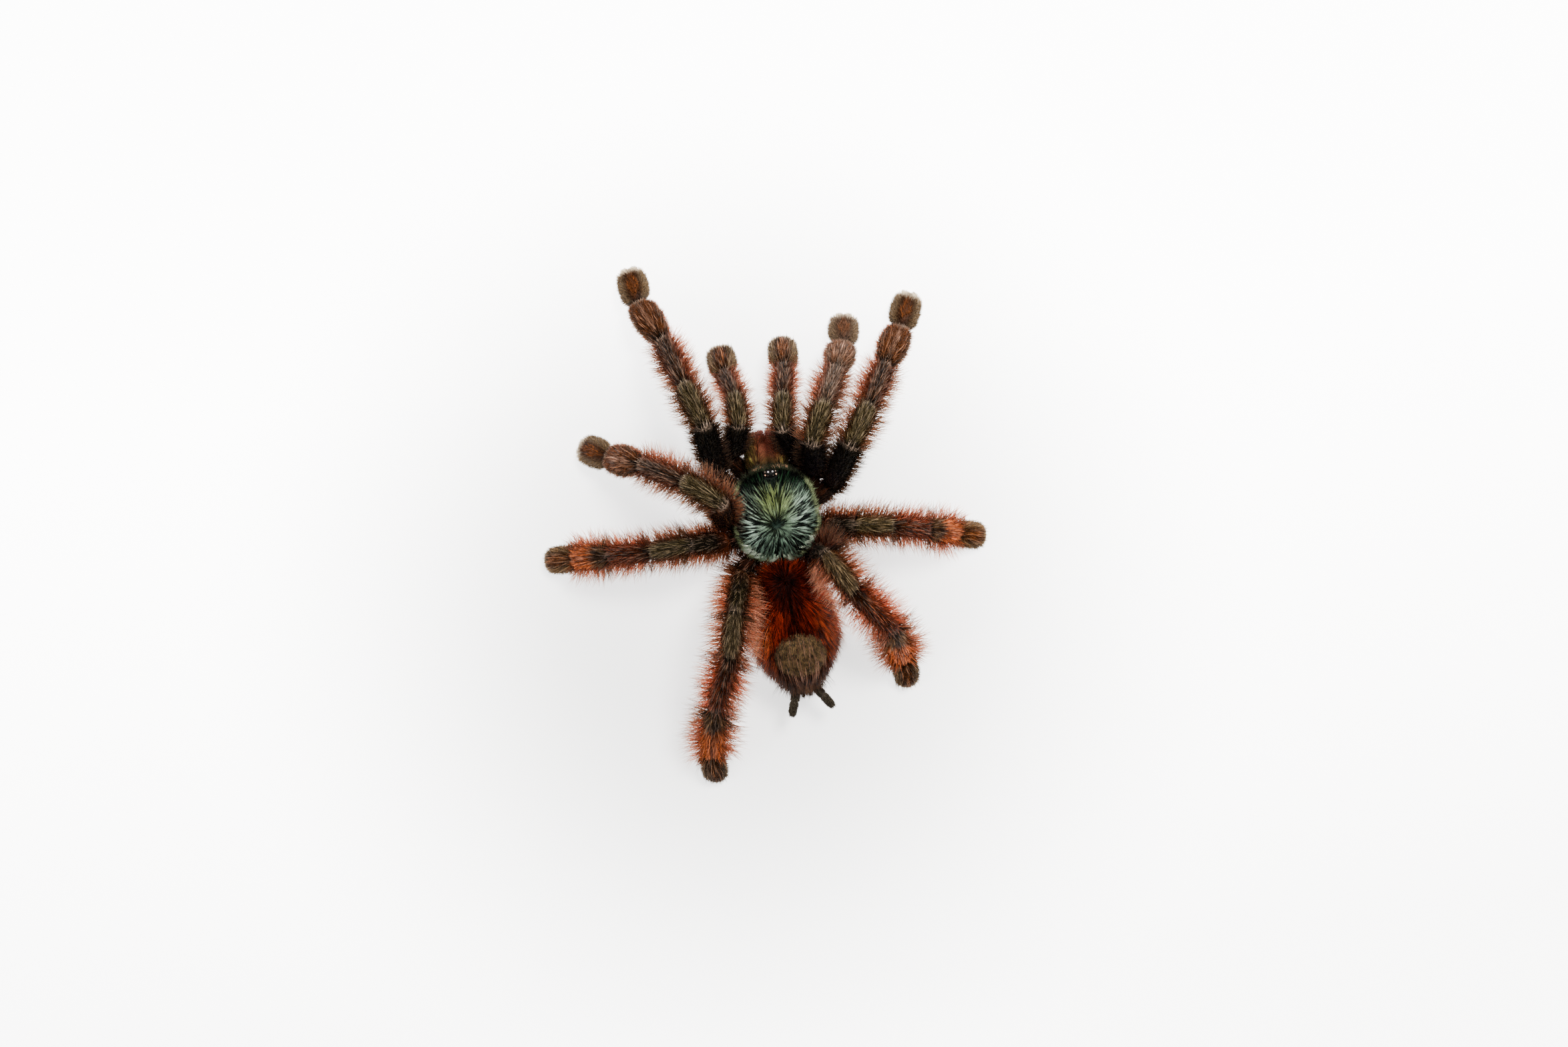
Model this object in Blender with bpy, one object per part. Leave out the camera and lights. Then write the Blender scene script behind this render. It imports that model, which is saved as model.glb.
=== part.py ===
"""Antilles pinktoe tarantula (Caribena versicolor), a still, life-size model of a standing adult.

Sizes are in millimetres and turned into metres when a mesh is made. +Z is up and the floor is Z = 0.
+Y points where the head points, along the carapace's midline, and +X is the animal's right.
Lengths are first laid out from the fovea, the dark pit in the middle of the carapace, and every
object is then moved so that the origin is the middle of the whole animal's box, on the floor.
"""

import math
import random

import bmesh
import bpy
from mathutils import Vector
from mathutils.bvhtree import BVHTree

MM = 0.001
GAP = 0.3
SEED = 28
FLOOR_MARGIN = 0.35
WITH_LOCKS = True

# The animal's sides: -1 is its left, +1 its right
SIDES = {"left": -1, "right": 1}

# Prosoma, the front half of the body
CARAPACE_CENTRE_Y = 2.3
CARAPACE_HALF_LENGTH = 8.5
CARAPACE_HALF_WIDTH = 7.7
CARAPACE_SQUARENESS = 2.4
CARAPACE_UNDERSIDE = 6.9
CARAPACE_RIM = 7.5
CARAPACE_DOME = 3.3
HEAD_FRONT_Y = 10.7
HEAD_FRONT_RISE = 2.5
HEAD_HUMP = 1.3
HEAD_HUMP_CENTRE_Y = 5.6
STERNUM_HALF_WIDTH = 3.6
STERNUM_HALF_LENGTH = 4.7
STERNUM_CENTRE_Y = 0.6
STERNUM_BOTTOM = 2.1
PEDICEL_RADIUS = 1.1
PEDICEL_HEIGHT = 4.9

# Eyes on their low mound: offset from the midline, offset from the mound's middle, radius
EYE_MOUND_Y = 9.7
EYE_MOUND_SIZE = (1.35, 1.0, 1.25)
EYE_SEAT = 0.12
EYES = {
    "front_inner": (0.42, 0.34, 0.30),
    "front_outer": (0.98, 0.40, 0.27),
    "rear_outer": (1.02, -0.2, 0.25),
    "rear_inner": (0.5, -0.33, 0.16),
}

# Chelicerae and fangs
CHELICERA_OFFSET = 2.05
CHELICERA_PAIR_X = -0.25
CHELICERA_LENGTH = 6.1
CHELICERA_HALF_WIDTH = 1.88
CHELICERA_HALF_HEIGHT = 2.4
CHELICERA_DROOP = math.radians(19)
CHELICERA_ROOT_Z = 7.1
FANG_LENGTH = 3.6
FANG_RADIUS = 0.55

# Abdomen
ABDOMEN_FRONT_Y = -7.4
ABDOMEN_LENGTH = 22.9
ABDOMEN_HALF_WIDTH = 6.7
ABDOMEN_HALF_HEIGHT = 5.9
ABDOMEN_MIDDLE_Z = 8.5
ABDOMEN_TURN = math.radians(3.6)
ABDOMEN_LOCK_LENGTH = 4.5
ABDOMEN_LOCK_HEIGHT = 1.25
ABDOMEN_LOCK_ROWS = ((0.1, 8), (0.24, 11), (0.38, 12), (0.52, 13), (0.66, 12), (0.8, 11), (0.91, 8))

# Spinnerets: offset from the abdomen's midline, turn outwards, length, root radius
SPINNERETS = {
    "spinneret_outer_left": (-1.6, math.radians(-21), 5.3, 0.8),
    "spinneret_outer_right": (1.65, math.radians(31), 5.4, 0.8),
    "spinneret_inner_left": (-0.52, math.radians(-4), 1.7, 0.32),
    "spinneret_inner_right": (0.52, math.radians(6), 1.7, 0.32),
}

# Segment lengths of each limb: femur, patella, tibia, metatarsus, tarsus. A palp has no metatarsus.
SEGMENTS = ("femur", "patella", "tibia", "metatarsus", "tarsus")
SEGMENT_LENGTHS = {
    "leg1": (13.8, 8.4, 10.9, 9.3, 7.2),
    "leg2": (12.8, 8.1, 10.0, 9.1, 7.2),
    "leg3": (10.5, 7.0, 8.2, 8.3, 6.5),
    "leg4": (13.0, 7.9, 11.3, 11.0, 6.3),
    "palp": (9.4, 6.3, 6.9, 0.0, 6.8),
}

# Half widths of the brushes under metatarsus and tarsus, and how far the long bristles stand out
PAD_HALF_WIDTH = {
    "leg1": (2.7, 2.75),
    "leg2": (2.7, 2.75),
    "leg3": (2.25, 2.45),
    "leg4": (2.15, 2.3),
    "palp": (0.0, 2.6),
}
BRISTLE_HEIGHT = {"leg1": 2.1, "leg2": 2.2, "leg3": 2.5, "leg4": 3.2, "palp": 1.9}
LIMB_GIRTH = {"leg1": 1.0, "leg2": 1.0, "leg3": 0.97, "leg4": 1.0, "palp": 0.86}

# Where each coxa leaves the sternum, as an angle from straight ahead
COXA_ANGLE = {"palp": 18, "leg1": 45, "leg2": 75, "leg3": 104, "leg4": 140}
COXA_HEIGHT = 4.3
COXA_GAP = 0.6

# The pose: where each femur starts, then heading and pitch of each segment in degrees.
# Heading 0 is straight ahead and grows outwards; pitch is above the horizontal.
# A leg's last pitch is left out, because its tarsus slopes down to stand on the floor.
POSE = {
    "leg1_left": ((-9.9, 10.2, 5.0), (7, 18, 19, 27, 8), (45, -13, -31, -24)),
    "leg2_left": ((-9.7, 2.0, 5.0), (-2, 53, 61, 71, 61), (74, -10, -31, -42)),
    "leg3_left": ((-9.3, -1.8, 5.0), (88, 93, 88, 87, 89), (48, -7, -21, -36)),
    "leg4_left": ((-7.6, -7.8, 5.0), (164, 166, 157, 167, 186), (54, -6, -22, -34)),
    "leg1_right": ((8.3, 9.0, 5.0), (2, 24, 26, 24, 9), (62, -2, -40, -47)),
    "leg2_right": ((10.9, 6.0, 5.0), (33, 32, 29, 31, 22), (49, -13, -33, -28)),
    "leg3_right": ((8.9, -1.2, 5.0), (97, 97, 102, 105, 105), (55, -8, -28, -40)),
    "leg4_right": ((7.2, -6.0, 5.0), (110, 152, 142, 166, 174), (83, -6, -21, -56)),
    "palp_left": ((-7.2, 13.6, 4.8), (-25, 0, 19, 4), (50, -22, -45)),
    "palp_right": ((6.1, 12.3, 4.8), (-28, 7, 10, 3), (55, -25, -41)),
}

# Legs that the pose shows a little longer or shorter than their fellow on the other side
LIMB_SCALE = {"leg1_left": 1.02, "leg1_right": 0.85, "leg3_left": 1.03, "leg3_right": 0.94, "palp_right": 1.1}

# How far below the floor a tarsus would reach before it is cut flat there
FOOT_PRESS = 0.35
LIMB_SIDES = 10

# Locks of bristles: width at the root, thickness, and where along a lock its rings lie
LIMB_LOCK_WIDTH = 2.1
BODY_LOCK_WIDTH = 2.2
LOCK_THICKNESS = 0.6
LOCK_ROOT = -0.35
LOCK_BEND = 0.5
LOCK_CLEARANCE = 0.27


def clear_scene():
    for thing in list(bpy.data.objects):
        bpy.data.objects.remove(thing, do_unlink=True)


def make_material(name, colour, roughness):
    material = bpy.data.materials.new(name)
    material.use_nodes = True
    shader = material.node_tree.nodes["Principled BSDF"]
    shader.inputs["Base Color"].default_value = (*colour, 1.0)
    shader.inputs["Roughness"].default_value = roughness
    shader.inputs["Metallic"].default_value = 0.0
    return material


COLOURS = {
    "carapace_green": ((0.10, 0.22, 0.15), 0.6),
    "abdomen_red": ((0.30, 0.06, 0.02), 0.75),
    "leg_dark": ((0.06, 0.04, 0.02), 0.75),
    "leg_olive": ((0.16, 0.12, 0.06), 0.75),
    "foot_brown": ((0.20, 0.11, 0.06), 0.8),
    "chelicera_brown": ((0.17, 0.08, 0.04), 0.7),
    "claw_black": ((0.02, 0.015, 0.01), 0.25),
    "eye_black": ((0.01, 0.01, 0.01), 0.1),
}
MATERIALS = {}


def heading_vector(side, heading, pitch=0.0):
    """Unit vector from a heading (degrees outwards from straight ahead) and a pitch above the floor."""
    h = math.radians(heading)
    p = math.radians(pitch)
    return Vector((side * math.sin(h) * math.cos(p), math.cos(h) * math.cos(p), math.sin(p)))


def smooth_step(value):
    value = min(max(value, 0.0), 1.0)
    return value * value * (3.0 - 2.0 * value)


class Ring:
    """A closed cross-section: its middle, its sideways and upward vectors, and its half sizes."""

    def __init__(self, middle, across, upward, half_width, half_height):
        self.middle = middle
        self.across = across
        self.upward = upward
        self.half_width = half_width
        self.half_height = half_height

    def points(self, sides):
        turned = []
        for k in range(sides):
            angle = 2.0 * math.pi * (k + 0.5) / sides
            turned.append(
                self.middle
                + self.across * (self.half_width * math.sin(angle))
                + self.upward * (self.half_height * math.cos(angle))
            )
        return turned


def skin_rings(rings, sides, start_bulge=0.0, end_bulge=0.0):
    """Mesh of a tube through the rings, each end closed by a fan round a middle that may bulge out."""
    mesh = bmesh.new()
    loops = [[mesh.verts.new(p) for p in ring.points(sides)] for ring in rings]
    for lower, upper in zip(loops, loops[1:]):
        for k in range(sides):
            n = (k + 1) % sides
            mesh.faces.new((lower[k], lower[n], upper[n], upper[k]))
    first, second = rings[0].middle, rings[1].middle
    last, before = rings[-1].middle, rings[-2].middle
    start = mesh.verts.new(first + (first - second).normalized() * start_bulge)
    end = mesh.verts.new(last + (last - before).normalized() * end_bulge)
    for k in range(sides):
        n = (k + 1) % sides
        mesh.faces.new((start, loops[0][n], loops[0][k]))
        mesh.faces.new((end, loops[-1][k], loops[-1][n]))
    bmesh.ops.recalc_face_normals(mesh, faces=mesh.faces)
    return mesh


def ellipsoid(middle, sizes, segments=8, rings=5, turn=0.0):
    mesh = bmesh.new()
    bmesh.ops.create_uvsphere(mesh, u_segments=segments, v_segments=rings, radius=1.0)
    for vert in mesh.verts:
        x, y, z = (vert.co[i] * sizes[i] for i in range(3))
        vert.co = middle + Vector(
            (x * math.cos(turn) - y * math.sin(turn), x * math.sin(turn) + y * math.cos(turn), z)
        )
    return mesh


def object_from(mesh, name):
    """Blender object of a bmesh in millimetres, kept in millimetres until it is finished."""
    bmesh.ops.triangulate(mesh, faces=mesh.faces)
    data = bpy.data.meshes.new(name)
    mesh.to_mesh(data)
    mesh.free()
    thing = bpy.data.objects.new(name, data)
    bpy.context.scene.collection.objects.link(thing)
    return thing


def combine(thing, meshes, operation):
    """Unites a node with, or cuts it by, a collection of closed meshes in one Boolean."""
    if not meshes:
        return
    helpers = bpy.data.collections.new("helpers")
    bpy.context.scene.collection.children.link(helpers)
    for mesh in meshes:
        helper = object_from(mesh, "helper")
        bpy.context.scene.collection.objects.unlink(helper)
        helpers.objects.link(helper)
    modifier = thing.modifiers.new("combine", "BOOLEAN")
    modifier.operation = operation
    modifier.operand_type = "COLLECTION"
    modifier.collection = helpers
    modifier.solver = "EXACT"
    bpy.context.view_layer.update()
    evaluated = thing.evaluated_get(bpy.context.evaluated_depsgraph_get())
    united = bpy.data.meshes.new_from_object(evaluated)
    thing.modifiers.clear()
    thing.data = united
    for helper in list(helpers.objects):
        bpy.data.objects.remove(helper, do_unlink=True)
    bpy.data.collections.remove(helpers)


def tidy_surface(thing):
    """Keeps the largest closed surface, welds doubled points and splits faces into triangles."""
    mesh = bmesh.new()
    mesh.from_mesh(thing.data)
    bmesh.ops.remove_doubles(mesh, verts=mesh.verts, dist=1e-4)
    bmesh.ops.dissolve_degenerate(mesh, edges=mesh.edges, dist=1e-4)
    bmesh.ops.dissolve_limit(mesh, angle_limit=math.radians(0.6), verts=mesh.verts, edges=mesh.edges)
    bmesh.ops.triangulate(mesh, faces=mesh.faces)
    islands = []
    waiting = set(mesh.faces)
    while waiting:
        island = [waiting.pop()]
        for face in island:
            for edge in face.edges:
                for other in edge.link_faces:
                    if other in waiting:
                        waiting.remove(other)
                        island.append(other)
        islands.append(island)
    largest = max(islands, key=lambda island: sum(face.calc_area() for face in island))
    loose = [face for island in islands if island is not largest for face in island]
    if loose:
        bmesh.ops.delete(mesh, geom=loose, context="FACES")
    bmesh.ops.recalc_face_normals(mesh, faces=mesh.faces)
    mesh.to_mesh(thing.data)
    mesh.free()


def cut_below(mesh, point, direction):
    """Removes what lies beyond a plane and closes the cut with a flat face."""
    geometry = list(mesh.verts) + list(mesh.edges) + list(mesh.faces)
    bmesh.ops.bisect_plane(
        mesh, geom=geometry, dist=1e-5, plane_co=point, plane_no=direction, clear_outer=True
    )
    rim = [edge for edge in mesh.edges if edge.is_boundary]
    if rim:
        bmesh.ops.edgeloop_fill(mesh, edges=rim)
    bmesh.ops.recalc_face_normals(mesh, faces=mesh.faces)


def lock_mesh(root, normal, lie, height, sweep, width, thickness, blade):
    """A flat, tapered, three-sided lock that leaves the surface along its normal and bends over the lie.

    A blade is flat in the plane of its bend, and so makes a serrated fringe beside a limb.
    Any other lock is flat across its bend, and so lies over the body like a shingle.
    """
    across = normal.cross(lie).normalized()
    mesh = bmesh.new()
    loops = []
    for t in (LOCK_ROOT, LOCK_BEND):
        middle = lock_point(root, normal, lie, height, sweep, t)
        ahead = (lock_point(root, normal, lie, height, sweep, t + 0.05) - middle).normalized()
        in_bend = (lie - ahead * lie.dot(ahead)).normalized()
        flat, ridge = (in_bend, across) if blade else (across, -in_bend)
        half = 0.5 * width * (1.0 - max(t, 0.0)) ** 0.6
        thick = 0.5 * thickness
        corners = (
            middle + flat * half - ridge * thick,
            middle - flat * half - ridge * thick,
            middle + ridge * thick,
        )
        loops.append([mesh.verts.new(corner) for corner in corners])
    tip = mesh.verts.new(lock_point(root, normal, lie, height, sweep, 1.0))
    for k in range(3):
        n = (k + 1) % 3
        mesh.faces.new((loops[0][k], loops[0][n], loops[1][n], loops[1][k]))
        mesh.faces.new((loops[1][k], loops[1][n], tip))
    mesh.faces.new(loops[0])
    bmesh.ops.recalc_face_normals(mesh, faces=mesh.faces)
    return mesh


def lock_point(root, normal, lie, height, sweep, t):
    """Point at share t of a lock's length: it rises ever slower and leans over ever more."""
    rise = height * (1.3 * t - 0.3 * t * abs(t))
    lean = sweep * (0.55 * t + 0.45 * t * abs(t))
    return root + normal * rise + lie * lean


def surface_samples(mesh, spacing):
    """Points along every edge of a mesh, at most a spacing apart, and the middles of its faces."""
    points = []
    for edge in mesh.edges:
        start, end = (vert.co for vert in edge.verts)
        steps = max(int((end - start).length / spacing), 1)
        points += [start.lerp(end, k / steps) for k in range(steps + 1)]
    points += [face.calc_center_median() for face in mesh.faces]
    return points


class Obstacle:
    """A closed surface that the locks of other nodes keep clear of."""

    def __init__(self, node, mesh):
        self.node = node
        self.tree = BVHTree.FromBMesh(mesh)
        self.low = Vector([min(vert.co[i] for vert in mesh.verts) for i in range(3)])
        self.high = Vector([max(vert.co[i] for vert in mesh.verts) for i in range(3)])

    def near(self, low, high):
        return all(low[i] < self.high[i] + GAP and self.low[i] < high[i] + GAP for i in range(3))


class Coat:
    """The locks of every node, kept clear of the floor, of the other nodes and of their locks."""

    def __init__(self):
        self.obstacles = []
        self.locks = {}

    def add_core(self, name, thing):
        mesh = bmesh.new()
        mesh.from_mesh(thing.data)
        self.obstacles.append(Obstacle(name, mesh))
        mesh.free()

    def clear_of_others(self, node, mesh):
        points = surface_samples(mesh, 0.4)
        if min(point.z for point in points) < FLOOR_MARGIN:
            return False
        low = Vector([min(point[i] for point in points) for i in range(3)])
        high = Vector([max(point[i] for point in points) for i in range(3)])
        tree = BVHTree.FromBMesh(mesh)
        for obstacle in self.obstacles:
            if obstacle.node == node or not obstacle.near(low, high):
                continue
            if tree.overlap(obstacle.tree):
                return False
            for point in points:
                if obstacle.tree.find_nearest(point, LOCK_CLEARANCE)[0] is not None:
                    return False
        return True

    def try_lock(self, node, root, normal, lie, height, sweep, width, blade):
        """Places a lock, lying lower and shorter each time it would touch something else."""
        for lower, shorter, narrower in ((1.0, 1.0, 1.0), (0.75, 1.0, 0.9), (0.6, 0.8, 0.8), (0.45, 0.65, 0.7)):
            shape = (root, normal, lie, height * lower, sweep * shorter, width * narrower, LOCK_THICKNESS, blade)
            mesh = lock_mesh(*shape)
            clear = self.clear_of_others(node, mesh)
            if clear:
                self.obstacles.append(Obstacle(node, mesh))
                self.locks.setdefault(node, []).append(shape)
            mesh.free()
            if clear:
                return True
        return False


class Limb:
    """A leg or palp as a chain of joints, with a frame for each segment."""

    def __init__(self, name):
        kind, side_name = name.split("_")
        self.name = name
        self.kind = kind
        self.side = SIDES[side_name]
        self.girth = LIMB_GIRTH[kind]
        hip, headings, pitches = POSE[name]
        scale = LIMB_SCALE.get(name, 1.0)
        lengths = [length * scale for length in SEGMENT_LENGTHS[kind] if length > 0.0]
        self.segments = [s for s, length in zip(SEGMENTS, SEGMENT_LENGTHS[kind]) if length > 0.0]
        angle = math.radians(COXA_ANGLE[kind])
        root = Vector(
            (
                self.side * (STERNUM_HALF_WIDTH + COXA_GAP) * math.sin(angle),
                STERNUM_CENTRE_Y + (STERNUM_HALF_LENGTH + COXA_GAP) * math.cos(angle),
                COXA_HEIGHT,
            )
        )
        self.joints = [root, Vector(hip)]
        coxa = self.joints[1] - self.joints[0]
        self.frames = [self.frame(math.degrees(math.atan2(self.side * coxa.x, coxa.y)), coxa.normalized())]
        for heading, pitch, length in zip(headings, pitches, lengths):
            self.add_segment(heading, pitch, length)
        self.stand_tarsus(headings[-1], lengths[-1])

    def add_segment(self, heading, pitch, length):
        ahead = heading_vector(self.side, heading, pitch)
        self.frames.append(self.frame(heading, ahead))
        self.joints.append(self.joints[-1] + ahead * length)

    def stand_tarsus(self, heading, length):
        """Slopes the tarsus so that its underside presses FOOT_PRESS into the floor, by halving."""
        low, high = -80.0, 30.0
        for _ in range(16):
            pitch = 0.5 * (low + high)
            self.add_segment(heading, pitch, length)
            tube = limb_core(self, ("tarsus",))
            lowest = min(vert.co.z for vert in tube.verts)
            tube.free()
            if lowest > -FOOT_PRESS:
                high = pitch
            else:
                low = pitch
            self.frames.pop()
            self.joints.pop()
        self.add_segment(heading, 0.5 * (low + high), length)

    def frame(self, heading, ahead):
        h = math.radians(heading)
        across = Vector((math.cos(h), -self.side * math.sin(h), 0.0))
        if self.side < 0:
            across.negate()
        across = (across - ahead * across.dot(ahead)).normalized()
        upward = across.cross(ahead)
        if upward.z < 0.0 and abs(upward.z) > 1e-6:
            upward.negate()
        return across, upward.normalized(), ahead

    def joint_frame(self, index):
        """Frame of the plane that halves the bend at a joint, and how much taller the cut is there."""
        if index == 0:
            return (*self.frames[0], 1.0)
        if index == len(self.joints) - 1:
            return (*self.frames[-1], 1.0)
        before, after = self.frames[index - 1], self.frames[index]
        ahead = (before[2] + after[2]).normalized()
        across = before[0] + after[0]
        across = (across - ahead * across.dot(ahead)).normalized()
        upward = before[1] + after[1]
        upward = (upward - ahead * upward.dot(ahead) - across * upward.dot(across)).normalized()
        half_bend = 0.5 * before[2].angle(after[2])
        return across, upward, ahead, 1.0 / max(math.cos(half_bend), 0.6)

    def ring(self, segment, share, half_width, half_height, offset=0.0):
        """Cross-section at a share of a segment (0 is the coxa), turned towards the joint planes near its ends."""
        start, end = self.joints[segment], self.joints[segment + 1]
        length = (end - start).length
        middle = start.lerp(end, share)
        across, upward, ahead = self.frames[segment]
        reach = min(3.2, 0.45 * length)
        stretch = 1.0
        for index, distance in ((segment, share * length), (segment + 1, (1.0 - share) * length)):
            weight = 1.0 - smooth_step(distance / reach)
            if weight > 0.0:
                joint = self.joint_frame(index)
                across = across.lerp(joint[0], weight).normalized()
                upward = upward.lerp(joint[1], weight)
                ahead = ahead.lerp(joint[2], weight).normalized()
                upward = (upward - across * upward.dot(across)).normalized()
                stretch += (joint[3] - 1.0) * weight
        middle = middle + ahead * offset
        return Ring(middle, across, upward, half_width, half_height * stretch)


# Half width and half height at shares of each segment, on a leg of full girth
PROFILES = {
    "coxa": ((0.0, 0.95, 1.35), (0.4, 1.3, 1.55), (0.72, 1.5, 1.55), (1.0, 1.45, 1.4)),
    "femur": ((0.0, 1.5, 1.45), (0.25, 1.85, 1.95), (0.6, 1.95, 2.1), (0.86, 1.9, 1.95), (1.0, 1.6, 1.6)),
    "patella": ((0.0, 1.6, 1.6), (0.25, 1.85, 1.85), (0.65, 1.95, 1.9), (0.88, 1.8, 1.75)),
    "tibia": ((0.0, 1.45, 1.45), (0.22, 1.72, 1.75), (0.6, 1.8, 1.8), (0.88, 1.65, 1.65), (1.0, 1.35, 1.3)),
}


def pad_profile(kind, segment):
    """Metatarsus and tarsus widen into a flat brush; the tarsus ends in a blunt, rounded pad."""
    meta, tarsus = PAD_HALF_WIDTH[kind]
    if segment == "metatarsus":
        return (
            (0.0, 1.35, 1.3),
            (0.2, 0.8 * meta, 1.55),
            (0.5, meta, 1.65),
            (0.8, 0.92 * meta, 1.5),
        )
    return (
        (0.0, 0.72 * tarsus, 1.3),
        (0.2, 0.95 * tarsus, 1.5),
        (0.55, tarsus, 1.5),
        (0.85, 0.93 * tarsus, 1.4),
        (0.96, 0.72 * tarsus, 1.15),
    )


def profile_of(limb, segment_name):
    if segment_name == "tarsus" or segment_name == "metatarsus":
        return pad_profile(limb.kind, segment_name)
    girth = limb.girth
    return tuple((share, width * girth, height * girth) for share, width, height in PROFILES[segment_name])


def half_sizes(profile, share):
    """Half width and half height at a share, between the profile's stations."""
    for low, high in zip(profile, profile[1:]):
        if share <= high[0]:
            blend = (share - low[0]) / (high[0] - low[0])
            return tuple(low[i] + (high[i] - low[i]) * blend for i in (1, 2))
    return profile[-1][1:]


def limb_nodes(limb):
    """The nodes of a limb: each a name and the segments it holds."""
    if limb.kind == "palp":
        groups = (("coxa",), ("femur",), ("patella", "tibia"), ("tarsus",))
    else:
        groups = (("coxa",), ("femur",), ("patella", "tibia"), ("metatarsus", "tarsus"))
    return [(f"{limb.name}_{'_'.join(group)}", group) for group in groups]


def segment_index(limb, segment_name):
    return 0 if segment_name == "coxa" else limb.segments.index(segment_name) + 1


def limb_core(limb, group):
    """Tube of one node, each end cut on the plane that halves the bend, half a gap short of it."""
    rings = []
    for position, segment_name in enumerate(group):
        index = segment_index(limb, segment_name)
        profile = profile_of(limb, segment_name)
        for share, half_width, half_height in profile:
            offset = 0.0
            if share == 0.0 and position == 0 and index > 0:
                offset = 0.5 * GAP
            if share == 1.0 and position == len(group) - 1:
                offset = -0.5 * GAP
            if share == 1.0 and position < len(group) - 1:
                continue
            rings.append(limb.ring(index, share, half_width, half_height, offset))
    end_bulge = 0.35 if group[-1] == "tarsus" else 0.0
    return skin_rings(rings, LIMB_SIDES, 0.0, end_bulge)


def limb_surface(limb, segment_name, share, angle):
    """Point, outward normal and lie on a limb's surface; angle 0 is its back and 90 its outer side."""
    half_width, half_height = half_sizes(profile_of(limb, segment_name), share)
    ring = limb.ring(segment_index(limb, segment_name), share, half_width, half_height)
    turn = math.radians(angle)
    radial = ring.across * (ring.half_width * math.sin(turn)) + ring.upward * (ring.half_height * math.cos(turn))
    normal = (
        ring.across * (ring.half_height * math.sin(turn)) + ring.upward * (ring.half_width * math.cos(turn))
    ).normalized()
    lie = limb.frames[segment_index(limb, segment_name)][2]
    lie = (lie - normal * lie.dot(normal)).normalized()
    return ring.middle + radial, normal, lie


# Bristle rows of each segment: share of the segment, and angles round it (0 is its back, 90 its outer side)
BRISTLE_ROWS = {
    "coxa": (),
    "femur": ((0.28, (82, -82)), (0.55, (82, -82, 180)), (0.82, (80, -80, 0))),
    "patella": ((0.28, (80, -80, 0)), (0.7, (80, -80, 180))),
    "tibia": ((0.12, (82, -82)), (0.36, (82, -82, 180)), (0.6, (82, -82, 0)), (0.84, (80, -80, 180))),
    "metatarsus": ((0.15, (85, -85)), (0.42, (85, -85, 0)), (0.7, (85, -85, 180))),
    "tarsus": (),
}
SHORT_BRUSHED = ("leg1", "leg2")


def grow_limb_locks(coat, limb, node, group, dice):
    """Blades of bristles in rows along the limb, longest at its sides and underneath."""
    for segment_name in group:
        if segment_name == "metatarsus" and limb.kind in SHORT_BRUSHED:
            continue
        for share, angles in BRISTLE_ROWS[segment_name]:
            if limb.kind == "palp" and segment_name == "tibia" and share == 0.36:
                continue
            for angle in angles:
                turned = angle + dice.uniform(-8, 8)
                root, normal, lie = limb_surface(limb, segment_name, share + dice.uniform(-0.03, 0.03), turned)
                height = BRISTLE_HEIGHT[limb.kind] * dice.uniform(0.85, 1.1)
                if angle == 0:
                    height *= 0.7
                coat.try_lock(node, root, normal, lie, height, height, LIMB_LOCK_WIDTH * limb.girth, True)


def carapace_outline(angle):
    """Rim of the carapace seen from above: a squared oval whose front is cut off by the face."""
    power = 2.0 / CARAPACE_SQUARENESS
    sine, cosine = math.sin(angle), math.cos(angle)
    x = CARAPACE_HALF_WIDTH * math.copysign(abs(sine) ** power, sine)
    y = CARAPACE_CENTRE_Y + CARAPACE_HALF_LENGTH * math.copysign(abs(cosine) ** power, cosine)
    return x, min(y, HEAD_FRONT_Y)


def carapace_mesh():
    """Domed shield round the fovea, with the raised head in front and shallow grooves between the legs."""
    segments, rings = 28, 6
    mesh = bmesh.new()
    middle = mesh.verts.new((0.0, 0.0, carapace_top(0.0, 0.0, 0.0, 0.0)))
    loops = []
    for ring in range(1, rings + 1):
        share = (ring / rings) ** 0.9
        loop = []
        for k in range(segments):
            angle = 2.0 * math.pi * k / segments
            x, y = carapace_outline(angle)
            loop.append(mesh.verts.new((x * share, y * share, carapace_top(x * share, y * share, share, angle))))
        loops.append(loop)
    under = []
    for k in range(segments):
        x, y = carapace_outline(2.0 * math.pi * k / segments)
        under.append(mesh.verts.new((0.97 * x, 0.97 * y if y < HEAD_FRONT_Y else y, CARAPACE_UNDERSIDE)))
    loops.append(under)
    for k in range(segments):
        n = (k + 1) % segments
        mesh.faces.new((middle, loops[0][k], loops[0][n]))
        for lower, upper in zip(loops, loops[1:]):
            mesh.faces.new((lower[k], upper[k], upper[n], lower[n]))
    mesh.faces.new(under)
    bmesh.ops.recalc_face_normals(mesh, faces=mesh.faces)
    return mesh


def carapace_top(x, y, share, angle):
    front = smooth_step((math.cos(angle) - 0.6) / 0.35) if y > 0.0 else 0.0
    rim = CARAPACE_RIM + HEAD_FRONT_RISE * front
    dome = (CARAPACE_DOME - 0.75 * HEAD_FRONT_RISE * front) * (1.0 - share**2.3)
    hump = HEAD_HUMP * math.exp(-((x / 3.3) ** 2) - ((y - HEAD_HUMP_CENTRE_Y) / 3.8) ** 2)
    pit = 0.5 * math.exp(-(x * x + y * y) / 0.9)
    grooves = 0.22 * math.cos(6.0 * angle + math.pi) * math.sin(math.pi * min(share, 1.0))
    return rim + dome + hump - pit + grooves


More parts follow.
